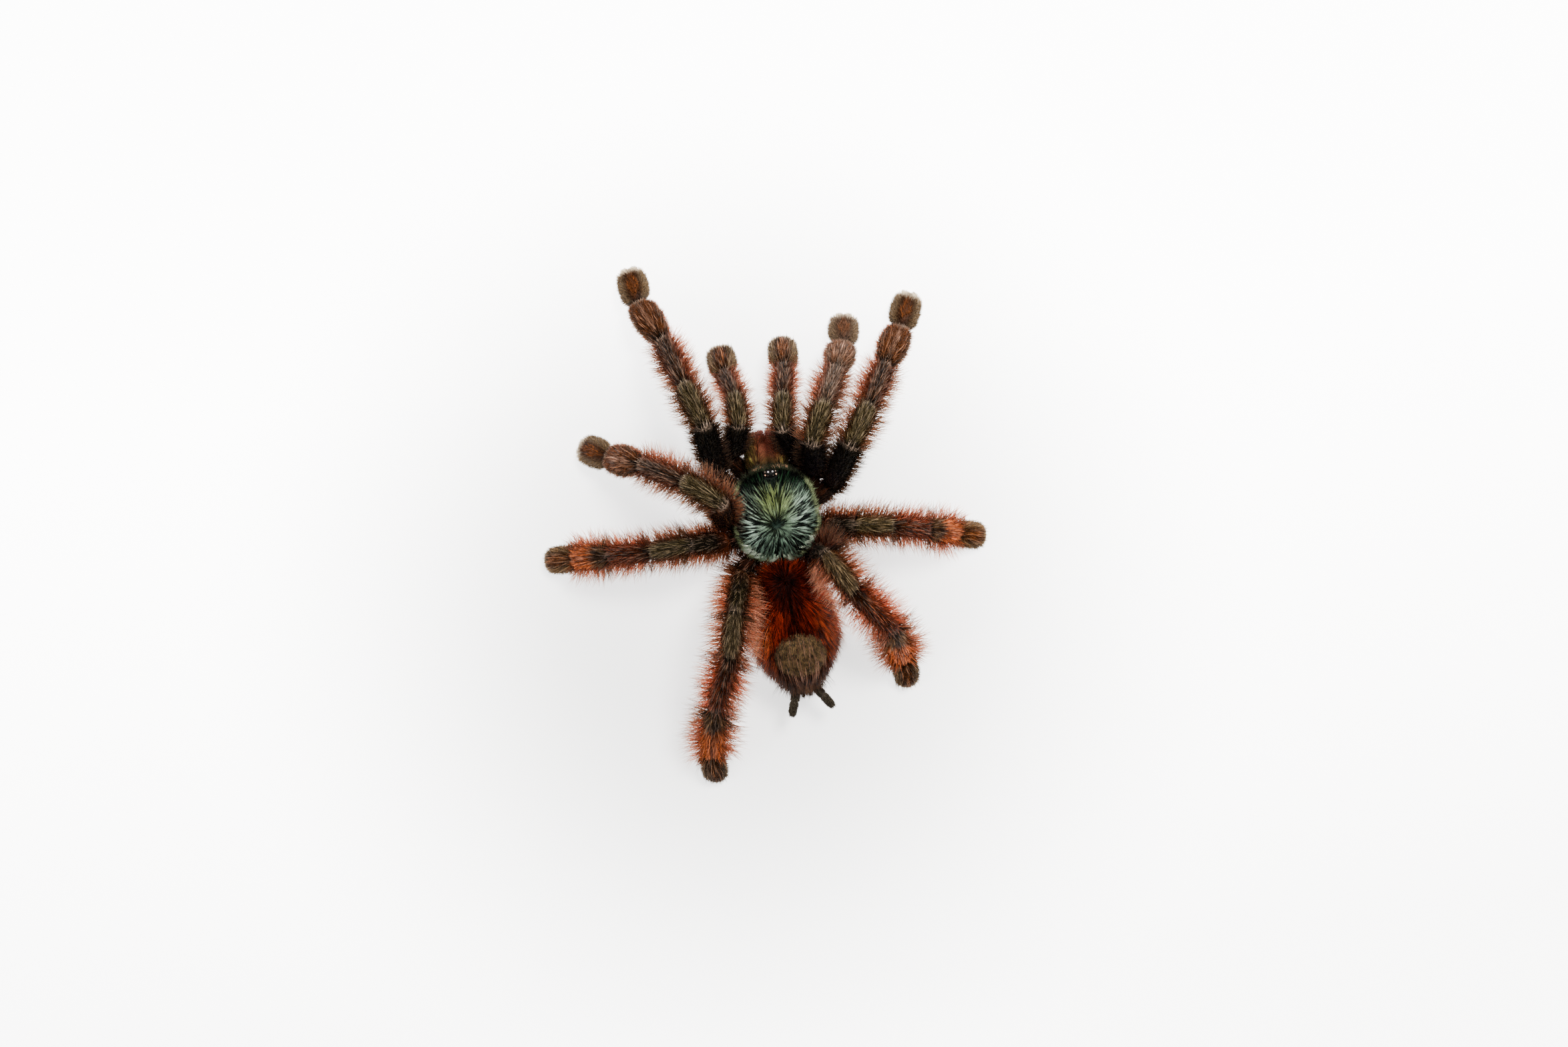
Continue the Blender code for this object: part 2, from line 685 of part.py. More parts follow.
def eye_places():
    """Middle and radius of each eye, by name, set into the mound's upper surface."""
    base = carapace_top(0.0, EYE_MOUND_Y, EYE_MOUND_Y / HEAD_FRONT_Y, 0.0) - 0.45
    width, length, height = EYE_MOUND_SIZE
    places = {}
    for name, (out, ahead, radius) in EYES.items():
        for side_name, side in SIDES.items():
            level = 1.0 - (out / width) ** 2 - (ahead / length) ** 2
            z = base + height * math.sqrt(max(level, 0.06))
            places[f"eye_{name}_{side_name}"] = (Vector((side * out, EYE_MOUND_Y + ahead, z - 0.1)), radius)
    mound = Vector((0.0, EYE_MOUND_Y, base))
    return mound, places


def build_prosoma(coat):
    mound, eyes = eye_places()
    carapace = object_from(carapace_mesh(), "carapace")
    combine(carapace, [ellipsoid(mound, EYE_MOUND_SIZE, 12, 8)], "UNION")
    sockets = [ellipsoid(middle, [radius + EYE_SEAT] * 3, 8, 5) for middle, radius in eyes.values()]
    combine(carapace, sockets, "DIFFERENCE")
    coat.add_core("carapace", carapace)
    NODES["carapace"] = (carapace, Vector((0.0, 0.0, CARAPACE_UNDERSIDE)), "carapace_green")
    for name, (middle, radius) in eyes.items():
        eye = object_from(ellipsoid(middle, [radius] * 3, 8, 5), name)
        NODES[name] = (eye, middle, "eye_black")

    segments = 20
    mesh = bmesh.new()
    levels = ((STERNUM_BOTTOM, 0.72), (STERNUM_BOTTOM + 0.9, 1.0), (CARAPACE_UNDERSIDE - GAP, 1.0))
    loops = []
    for z, share in levels:
        loop = []
        for k in range(segments):
            angle = 2.0 * math.pi * (k + 0.5) / segments
            x = STERNUM_HALF_WIDTH * share * math.sin(angle)
            y = STERNUM_CENTRE_Y + STERNUM_HALF_LENGTH * share * math.cos(angle)
            loop.append(mesh.verts.new((x, y, z)))
        loops.append(loop)
    for lower, upper in zip(loops, loops[1:]):
        for k in range(segments):
            n = (k + 1) % segments
            mesh.faces.new((lower[k], lower[n], upper[n], upper[k]))
    mesh.faces.new(loops[0])
    mesh.faces.new(loops[-1])
    bmesh.ops.recalc_face_normals(mesh, faces=mesh.faces)
    sternum = object_from(mesh, "sternum")
    coat.add_core("sternum", sternum)
    NODES["sternum"] = (sternum, Vector((0.0, STERNUM_CENTRE_Y, STERNUM_BOTTOM)), "leg_dark")


def chelicera_middle(side, reach):
    x = CHELICERA_PAIR_X + side * CHELICERA_OFFSET
    y = HEAD_FRONT_Y + GAP + reach
    return Vector((x, y, CHELICERA_ROOT_Z - math.tan(CHELICERA_DROOP) * reach))


def build_chelicerae(coat):
    shape = ((0.0, 0.88, 0.86), (0.2, 1.0, 1.0), (0.55, 1.0, 1.02), (0.82, 0.88, 0.86), (0.97, 0.55, 0.5))
    for side_name, side in SIDES.items():
        rings = []
        for share, width, height in shape:
            middle = chelicera_middle(side, share * CHELICERA_LENGTH)
            rings.append(
                Ring(
                    middle,
                    Vector((1.0, 0.0, 0.0)),
                    Vector((0.0, 0.0, 1.0)),
                    CHELICERA_HALF_WIDTH * width,
                    CHELICERA_HALF_HEIGHT * height,
                )
            )
        name = f"chelicera_{side_name}"
        chelicera = object_from(skin_rings(rings, 12, 0.0, 0.25), name)
        coat.add_core(name, chelicera)
        NODES[name] = (chelicera, rings[0].middle, "chelicera_brown")
        build_fang(coat, side_name, side)


def build_fang(coat, side_name, side):
    """Fang folded back under the chelicera, bent in an arc and tapering to its point."""
    seat = chelicera_middle(side, 0.72 * CHELICERA_LENGTH)
    start = seat - Vector((0.0, 0.0, CHELICERA_HALF_HEIGHT + GAP - 0.05))
    rings = []
    middle = start
    steps = 6
    for step in range(steps):
        share = step / (steps - 1)
        turn = math.radians(90 - 78 * share)
        ahead = Vector((-0.12 * side, -math.cos(turn), -math.sin(turn))).normalized()
        radius = FANG_RADIUS * (1.0 - 0.82 * share)
        across = Vector((1.0, 0.0, 0.0))
        rings.append(Ring(middle, across, across.cross(ahead).normalized(), radius, radius))
        middle = middle + ahead * (FANG_LENGTH / (steps - 1))
    name = f"fang_{side_name}"
    fang = object_from(skin_rings(rings, 8, 0.0, 0.15), name)
    coat.add_core(name, fang)
    NODES[name] = (fang, start, "claw_black")


def abdomen_axis(share):
    """Point on the abdomen's axis: it leaves the pedicel low and its rear end drops to the spinnerets."""
    reach = share * ABDOMEN_LENGTH
    lift = -2.7 * (1.0 - share) ** 3 - 1.9 * share**3
    return Vector(
        (
            reach * math.sin(ABDOMEN_TURN),
            ABDOMEN_FRONT_Y - reach * math.cos(ABDOMEN_TURN),
            ABDOMEN_MIDDLE_Z + lift,
        )
    )


def abdomen_half_sizes(share):
    swell = math.sin(math.pi * (0.03 + 0.95 * share) ** 1.1) ** (0.48 + 0.16 * share)
    return ABDOMEN_HALF_WIDTH * swell, ABDOMEN_HALF_HEIGHT * swell


def abdomen_ring(share):
    width, height = abdomen_half_sizes(share)
    across = Vector((math.cos(ABDOMEN_TURN), math.sin(ABDOMEN_TURN), 0.0))
    return Ring(abdomen_axis(share), across, Vector((0.0, 0.0, 1.0)), width, height)


def abdomen_surface(share, angle):
    """Point, outward normal and backward lie on the abdomen; angle 0 is its back and 90 its right."""
    def place(s, a):
        ring = abdomen_ring(s)
        turn = math.radians(a)
        return (
            ring.middle
            + ring.across * (ring.half_width * math.sin(turn))
            + ring.upward * (ring.half_height * math.cos(turn))
        )

    point = place(share, angle)
    backward = (place(share + 0.01, angle) - point).normalized()
    around = (place(share, angle + 1.0) - point).normalized()
    normal = around.cross(backward).normalized()
    if normal.dot(point - abdomen_axis(share)) < 0.0:
        normal.negate()
    return point, normal, backward


def build_abdomen(coat):
    shares = (0.0, 0.045, 0.11, 0.2, 0.32, 0.45, 0.58, 0.7, 0.81, 0.9, 0.96, 0.99)
    rings = [abdomen_ring(share) for share in shares]
    abdomen = object_from(skin_rings(rings, 20, 0.0, 0.2), "abdomen")
    coat.add_core("abdomen", abdomen)
    NODES["abdomen"] = (abdomen, rings[0].middle, "abdomen_red")

    front = rings[0]
    back = STERNUM_CENTRE_Y - STERNUM_HALF_LENGTH - GAP
    pedicel_rings = []
    for y, radius in ((back, 0.95), (0.5 * (back + ABDOMEN_FRONT_Y), 0.8), (ABDOMEN_FRONT_Y + GAP, 1.0)):
        pedicel_rings.append(
            Ring(
                Vector((0.0, y, PEDICEL_HEIGHT + (front.middle.z - PEDICEL_HEIGHT) * (y < back - 0.1))),
                Vector((1.0, 0.0, 0.0)),
                Vector((0.0, 0.0, 1.0)),
                PEDICEL_RADIUS * radius,
                PEDICEL_RADIUS * radius,
            )
        )
    pedicel = object_from(skin_rings(pedicel_rings, 10), "pedicel")
    coat.add_core("pedicel", pedicel)
    NODES["pedicel"] = (pedicel, pedicel_rings[0].middle, "leg_dark")

    for name, (out, turn, length, radius) in SPINNERETS.items():
        build_spinneret(coat, name, out, turn, length, radius)


def build_spinneret(coat, name, out, turn, length, radius):
    """Finger-like spinneret in three joints, leaving the lower rear of the abdomen."""
    rear = abdomen_ring(0.99)
    heading = ABDOMEN_TURN + turn
    ahead = Vector((math.sin(heading), -math.cos(heading), -0.12)).normalized()
    across = Vector((math.cos(heading), math.sin(heading), 0.0))
    upward = across.cross(ahead).normalized()
    start = rear.middle + rear.across * out + Vector((0.0, -GAP - 0.35, -0.5))
    shape = ((0.0, 0.8), (0.12, 1.0), (0.38, 0.95), (0.45, 0.78), (0.52, 0.9), (0.8, 0.72), (0.95, 0.5))
    rings = [
        Ring(start + ahead * (share * length), across, upward, radius * width, radius * width)
        for share, width in shape
    ]
    spinneret = object_from(skin_rings(rings, 8, 0.0, 0.12), name)
    coat.add_core(name, spinneret)
    NODES[name] = (spinneret, start, "claw_black")


NODES = {}
STANCE_CENTRE = Vector()


def centre_stance():
    """Sets STANCE_CENTRE to the middle of the whole animal's box, seen from the fovea."""
    points = [vert.co for thing, _, _ in NODES.values() for vert in thing.data.vertices]
    for axis in (0, 1):
        values = [point[axis] for point in points]
        STANCE_CENTRE[axis] = 0.5 * (min(values) + max(values))


def finish_node(thing, origin, material_name, parent=None):
    """Turns a finished node into metres, puts its origin at its root and gives it its material."""
    tidy_surface(thing)
    place = (origin - STANCE_CENTRE) * MM
    for vert in thing.data.vertices:
        vert.co = (vert.co - STANCE_CENTRE) * MM - place
    thing.location = place
    if parent:
        thing.location = place - parent.location
    if parent:
        thing.parent = parent
    if material_name not in MATERIALS:
        MATERIALS[material_name] = make_material(material_name, *COLOURS[material_name])
    thing.data.materials.clear()
    thing.data.materials.append(MATERIALS[material_name])
    thing.data.shade_smooth()
    thing.data.set_sharp_from_angle(angle=math.radians(50))


def build_limbs(coat):
    limbs = [Limb(name) for name in POSE]
    for limb in limbs:
        for name, group in limb_nodes(limb):
            mesh = limb_core(limb, group)
            if group[-1] == "tarsus":
                cut_below(mesh, (0.0, 0.0, 0.0), (0.0, 0.0, -1.0))
            thing = object_from(mesh, name)
            coat.add_core(name, thing)
            origin = limb.joints[segment_index(limb, group[0])]
            material = {"coxa": "leg_dark", "femur": "leg_dark", "patella": "leg_olive"}.get(group[0], "foot_brown")
            NODES[name] = (thing, origin, material)
    return limbs


def grow_coat(coat, limbs, dice):
    """Locks of long bristles on the abdomen, round the carapace's edge and along the limbs."""
    for row, (share, count) in enumerate(ABDOMEN_LOCK_ROWS):
        for k in range(count):
            angle = 360.0 * (k + 0.5 * (row % 2)) / count + dice.uniform(-6, 6)
            root, normal, lie = abdomen_surface(share + dice.uniform(-0.02, 0.02), angle)
            height = ABDOMEN_LOCK_HEIGHT * dice.uniform(0.85, 1.15)
            sweep = ABDOMEN_LOCK_LENGTH * dice.uniform(0.85, 1.1)
            coat.try_lock("abdomen", root, normal, lie, height, sweep, BODY_LOCK_WIDTH, False)
    for limb in limbs:
        for node, group in limb_nodes(limb):
            grow_limb_locks(coat, limb, node, group, dice)


def main():
    clear_scene()
    dice = random.Random(SEED)
    coat = Coat()
    build_prosoma(coat)
    build_chelicerae(coat)
    build_abdomen(coat)
    limbs = build_limbs(coat)
    if WITH_LOCKS:
        grow_coat(coat, limbs, dice)
        for node, shapes in coat.locks.items():
            combine(NODES[node][0], [lock_mesh(*shape) for shape in shapes], "UNION")
    centre_stance()
    carapace = NODES["carapace"][0]
    for thing, origin, material in NODES.values():
        finish_node(thing, origin, material, None if thing is carapace else carapace)


main()
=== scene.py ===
import math

import bpy
import numpy as np
from mathutils import Matrix


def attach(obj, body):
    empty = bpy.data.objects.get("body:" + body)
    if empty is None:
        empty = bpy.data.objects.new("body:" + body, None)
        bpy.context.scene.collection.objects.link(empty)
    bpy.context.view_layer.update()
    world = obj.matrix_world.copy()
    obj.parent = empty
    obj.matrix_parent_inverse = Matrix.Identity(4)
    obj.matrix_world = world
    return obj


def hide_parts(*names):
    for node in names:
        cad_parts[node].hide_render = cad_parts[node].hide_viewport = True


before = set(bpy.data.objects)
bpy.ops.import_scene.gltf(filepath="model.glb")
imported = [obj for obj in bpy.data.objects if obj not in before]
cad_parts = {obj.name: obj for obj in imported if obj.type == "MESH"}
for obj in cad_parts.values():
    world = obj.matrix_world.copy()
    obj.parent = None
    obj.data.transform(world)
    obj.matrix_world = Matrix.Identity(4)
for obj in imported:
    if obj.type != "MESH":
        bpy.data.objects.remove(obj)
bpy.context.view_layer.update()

# Legs and feelers, skin. Tubes of hard cuticle, one run from coxa to tarsus for each limb, pinched
# where the soft joint membranes lie. Lengths are in millimetres from the fovea, the pit in the
# carapace, and STANCE is where the frame's origin lies from there.
MM = 0.001
STANCE = np.array((-2.711, 2.484, 0.0))
SKIN_INSET = 0.05
SEGMENT_LENGTHS = {
    "leg1": (13.8, 8.4, 10.9, 9.3, 7.2),
    "leg2": (12.8, 8.1, 10.0, 9.1, 7.2),
    "leg3": (10.5, 7.0, 8.2, 8.3, 6.5),
    "leg4": (13.0, 7.9, 11.3, 11.0, 6.3),
    "palp": (9.4, 6.3, 6.9, 6.8),
}
PAD_HALF_WIDTH = {
    "leg1": (2.7, 2.75),
    "leg2": (2.7, 2.75),
    "leg3": (2.25, 2.45),
    "leg4": (2.15, 2.3),
    "palp": (0.0, 2.6),
}
LIMB_GIRTH = {"leg1": 1.0, "leg2": 1.0, "leg3": 0.97, "leg4": 1.0, "palp": 0.86}

# name: coxa root, femur root, headings outwards from straight ahead, pitches, length scale
POSE = {
    "leg1_left": ((-2.97, 4.35), (-9.9, 10.2), (7, 18, 19, 27, 8), (45, -13, -31, -24, -23.3), 1.02),
    "leg2_left": ((-4.06, 1.97), (-9.7, 2.0), (-2, 53, 61, 71, 61), (74, -10, -31, -42, -36.7), 1.0),
    "leg3_left": ((-4.08, -0.68), (-9.3, -1.8), (88, 93, 88, 87, 89), (48, -7, -21, -36, -33.5), 1.03),
    "leg4_left": ((-2.7, -3.46), (-7.6, -7.8), (164, 166, 157, 167, 186), (54, -6, -22, -34, -39), 1.0),
    "leg1_right": ((2.97, 4.35), (8.3, 9.0), (2, 24, 26, 24, 9), (62, -2, -40, -47, -28), 0.85),
    "leg2_right": ((4.06, 1.97), (10.9, 6.0), (33, 32, 29, 31, 22), (49, -13, -33, -28, -20.7), 1.0),
    "leg3_right": ((4.08, -0.68), (8.9, -1.2), (97, 97, 102, 105, 105), (55, -8, -28, -40, -30.1), 0.94),
    "leg4_right": ((2.7, -3.46), (7.2, -6.0), (110, 152, 142, 166, 174), (83, -6, -21, -56, -33.6), 1.0),
    "palp_left": ((-1.3, 5.64), (-7.2, 13.6), (-25, 0, 19, 4), (50, -22, -45, -41), 1.0),
    "palp_right": ((1.3, 5.64), (6.1, 12.3), (-28, 7, 10, 3), (55, -25, -41, -43.2), 1.1),
}
COXA_HEIGHT = 4.3
HIP_HEIGHT = {"leg": 5.0, "palp": 4.8}
COXA, FEMUR, PATELLA, TIBIA, METATARSUS, TARSUS = range(6)
PROFILES = {
    COXA: ((0.0, 0.95, 1.35), (0.4, 1.3, 1.55), (0.72, 1.5, 1.55), (1.0, 1.45, 1.4)),
    FEMUR: ((0.03, 1.5, 1.45), (0.25, 1.85, 1.95), (0.6, 1.95, 2.1), (0.86, 1.9, 1.95), (1.0, 1.6, 1.6)),
    PATELLA: ((0.03, 1.6, 1.6), (0.25, 1.85, 1.85), (0.65, 1.95, 1.9), (0.88, 1.8, 1.75)),
    TIBIA: ((0.0, 1.45, 1.45), (0.22, 1.72, 1.75), (0.6, 1.8, 1.8), (0.88, 1.65, 1.65), (1.0, 1.35, 1.3)),
}
TIP_ROUNDING = 0.32
JOINT_REACH = 3.2
JOINT_WAIST = 0.15
ANKLE_WAIST = 0.27
WAIST_HALF_LENGTH = 0.7


def unit(rows):
    """Each vector divided by its length."""
    return rows / np.maximum(np.linalg.norm(rows, axis=-1, keepdims=True), 1e-9)


def ease(x, low, high):
    """Smooth step: 3u^2 - 2u^3, where u runs from 0 at low to 1 at high."""
    u = np.clip((x - low) / (high - low), 0.0, 1.0)
    return u * u * (3.0 - 2.0 * u)


def mix(a, b, share):
    """a + (b - a) times share, row by row."""
    share = np.asarray(share, float)
    if share.ndim:
        share = share[..., None]
    return a + (b - a) * share


def srgb(red, green, blue):
    """Linear colour of a 0 to 255 screen colour: ((c / 255 + 0.055) / 1.055)^2.4."""
    c = np.array((red, green, blue)) / 255.0
    return np.where(c <= 0.04045, c / 12.92, ((c + 0.055) / 1.055) ** 2.4)


def paint(colour, *coats):
    """Coats of colour over each other: each is a colour and the share by which it is mixed in."""
    for over, share in coats:
        colour = mix(colour, over, share)
    return colour


def without(rows, axis):
    """What each vector has across an axis: v - a (v . a)."""
    return rows - axis * (rows * axis).sum(1, keepdims=True)


def grid(stations, sides):
    """Each station with each of so many even turns round it, as two long rows."""
    turns = 2 * np.pi * np.arange(sides) / sides
    return (rows.ravel() for rows in np.meshgrid(stations, turns, indexing="ij"))


def unwrap(angle, along):
    """Place on a flat unwrap: the share of a turn, half of it at the back, and the place along."""
    return np.stack((angle / (2 * np.pi) + 0.5, along), -1)


def segment_frame(side, heading, pitch):
    """Outward, upward and forward vectors of a segment: forward = (side sin h cos p, cos h cos p, sin p)."""
    h, p = math.radians(heading), math.radians(pitch)
    ahead = np.array((side * math.sin(h) * math.cos(p), math.cos(h) * math.cos(p), math.sin(p)))
    across = side * np.array((math.cos(h), -side * math.sin(h), 0.0))
    upward = np.cross(across, ahead) * side
    return unit(across), unit(upward), ahead


def make_limb(name):
    """Joints, frames and profile of a limb, each segment starting where the last one ends."""
    kind, side_name = name.split("_")
    side = -1 if side_name == "left" else 1
    root, hip, headings, pitches, scale = POSE[name]
    joints = [np.array((*root, COXA_HEIGHT)), np.array((*hip, HIP_HEIGHT[kind.rstrip("1234")]))]
    coxa = joints[1] - joints[0]
    heading = math.degrees(math.atan2(side * coxa[0], coxa[1]))
    pitch = math.degrees(math.asin(coxa[2] / np.linalg.norm(coxa)))
    frames = [segment_frame(side, heading, pitch)]
    for heading, pitch, length in zip(headings, pitches, SEGMENT_LENGTHS[kind]):
        frames.append(segment_frame(side, heading, pitch))
        joints.append(joints[-1] + frames[-1][2] * length * scale)
    joints = np.array(joints)
    lengths = np.linalg.norm(np.diff(joints, axis=0), axis=1)
    starts = np.concatenate(([0.0], np.cumsum(lengths)))
    kinds = (COXA, FEMUR, PATELLA, TIBIA, TARSUS) if kind == "palp" else tuple(range(6))
    meta, tarsus = PAD_HALF_WIDTH[kind]
    pads = {
        METATARSUS: ((0.0, 1.35, 1.3), (0.2, 0.8 * meta, 1.55), (0.5, meta, 1.65), (0.8, 0.92 * meta, 1.5)),
        TARSUS: ((0.0, 0.7 * tarsus, 1.3), (0.2, 0.93 * tarsus, 1.5), (0.5, tarsus, 1.5), (0.76, 0.93 * tarsus, 1.4),
                 (0.88, 0.8 * tarsus, 1.3), (0.96, 0.58 * tarsus, 1.1)),
    }
    girth = LIMB_GIRTH[kind]
    knots = []
    for i, k in enumerate(kinds):
        g = 1.0 if k in pads else girth
        for share, width, height in {**PROFILES, **pads}[k]:
            knots.append((starts[i] + share * lengths[i], width * g, height * g))
    end = knots[-1][0] + TIP_ROUNDING
    knots.append((knots[-1][0] + 0.75 * TIP_ROUNDING, 0.62 * knots[-1][1], 0.7))
    knots.append((end, 0.05, 0.05))
    frames = np.array(frames)
    turned = [(*frames[0], 1.0)]
    for before, after in zip(frames, frames[1:]):
        ahead = unit(before[2] + after[2])
        across = before[0] + after[0]
        across = unit(across - ahead * (across @ ahead))
        upward = before[1] + after[1]
        upward = unit(upward - ahead * (upward @ ahead) - across * (upward @ across))
        half_bend = 0.5 * math.acos(np.clip(before[2] @ after[2], -1.0, 1.0))
        turned.append((across, upward, ahead, 1.0 / max(math.cos(half_bend), 0.6)))
    turned.append((*frames[-1], 1.0))
    return {
        "name": name, "kind": kind, "side": side, "kinds": np.array(kinds), "joints": joints, "frames": frames,
        "lengths": lengths, "starts": starts, "knots": np.array(knots), "end": end,
        "turned": np.array([[*t[0], *t[1], *t[2]] for t in turned]).reshape(-1, 3, 3),
        "stretch": np.array([t[3] for t in turned]), "front": kind in ("leg1", "leg2", "palp"),
    }


def limb_place(limb, s):
    """Segment number, share of the way along it and its length, at lengths s along a limb."""
    i = np.clip(np.searchsorted(limb["starts"], s, side="right") - 1, 0, len(limb["lengths"]) - 1)
    length = limb["lengths"][i]
    return i, (s - limb["starts"][i]) / length, length


def limb_rings(limb, s):
    """Middle, axes and half sizes of cross-sections: straight along each segment, and eased over the
    last 3.2 mm into the plane that halves the bend, with waists of 15% at the joints and 27%
    at the front ankles."""
    i, t, length = limb_place(limb, s)
    middle = limb["joints"][i] + (limb["joints"][i + 1] - limb["joints"][i]) * t[:, None]
    across, upward, ahead = (limb["frames"][i, k] for k in range(3))
    stretch, waist = np.ones_like(s), np.ones_like(s)
    reach = np.minimum(JOINT_REACH, 0.45 * length)
    for joint, distance in ((i, t * length), (i + 1, (1.0 - t) * length)):
        weight = 1.0 - ease(distance, 0.0, reach)
        axes = limb["turned"][joint]
        across = unit(mix(across, axes[:, 0], weight))
        upward = mix(upward, axes[:, 1], weight)
        ahead = unit(mix(ahead, axes[:, 2], weight))
        stretch += (limb["stretch"][joint] - 1.0) * weight
        inner = (joint > 0) & (joint < len(limb["lengths"]))
        ankle = limb["front"] & (joint == len(limb["lengths"]) - 1)
        waist -= np.where(ankle, ANKLE_WAIST, JOINT_WAIST) * inner * np.exp(-((distance / WAIST_HALF_LENGTH) ** 2))
    upward = unit(without(upward, across))
    wide, tall = (np.maximum(np.interp(s, limb["knots"][:, 0], limb["knots"][:, k]) - SKIN_INSET, 0.03) * waist
                  for k in (1, 2))
    return middle, across, upward, ahead, wide, tall * stretch


def limb_surface(limb, s, angle):
    """Point, normal, forward and sideways tangents on a limb; angle 0 is its back, 90 its outer side.
    The normal leans back by the slope of the width along the limb."""
    middle, across, upward, ahead, wide, tall = limb_rings(limb, s)
    sine, cosine = np.sin(angle)[:, None], np.cos(angle)[:, None]
    point = middle + across * wide[:, None] * sine + upward * tall[:, None] * cosine
    radial = unit(across * tall[:, None] * sine + upward * wide[:, None] * cosine)
    after, before = (np.interp(s + step, limb["knots"][:, 0], limb["knots"][:, 1]) for step in (0.1, -0.1))
    normal = unit(radial - ahead * ((after - before) / 0.2)[:, None])
    forward = unit(without(ahead, normal))
    sideways = unit(across * wide[:, None] * cosine - upward * tall[:, None] * sine)
    return point, normal, forward, sideways


OLIVE = srgb(74, 62, 35)
OLIVE_PALE = srgb(152, 134, 102)
BLACK_BROWN = srgb(18, 12, 6)
RUST = srgb(94, 40, 16)
RED = srgb(150, 62, 24)
BROWN = srgb(82, 48, 26)
ORANGE = srgb(172, 96, 46)
GREY_BROWN = srgb(118, 98, 72)
MAUVE = srgb(146, 110, 90)
CREAM = srgb(242, 216, 182)
PINK_PALE = srgb(188, 160, 138)
STREAKS = np.random.default_rng(5).random((6, 72))
HIND_TONE = {
    "leg3": np.array([(1.0, 1.0, 1.0)] * 3 + [(1.12, 0.86, 0.6), (1.45, 1.1, 0.8), (1.2, 1.2, 1.0)]),
    "leg4": np.array([(1.0, 1.0, 1.0)] * 3 + [(1.12, 0.86, 0.6), (1.45, 1.1, 0.8), (0.8, 0.84, 0.8)]),
}
LAMP_SIDE_TONE = (1.36, 1.28, 1.2)


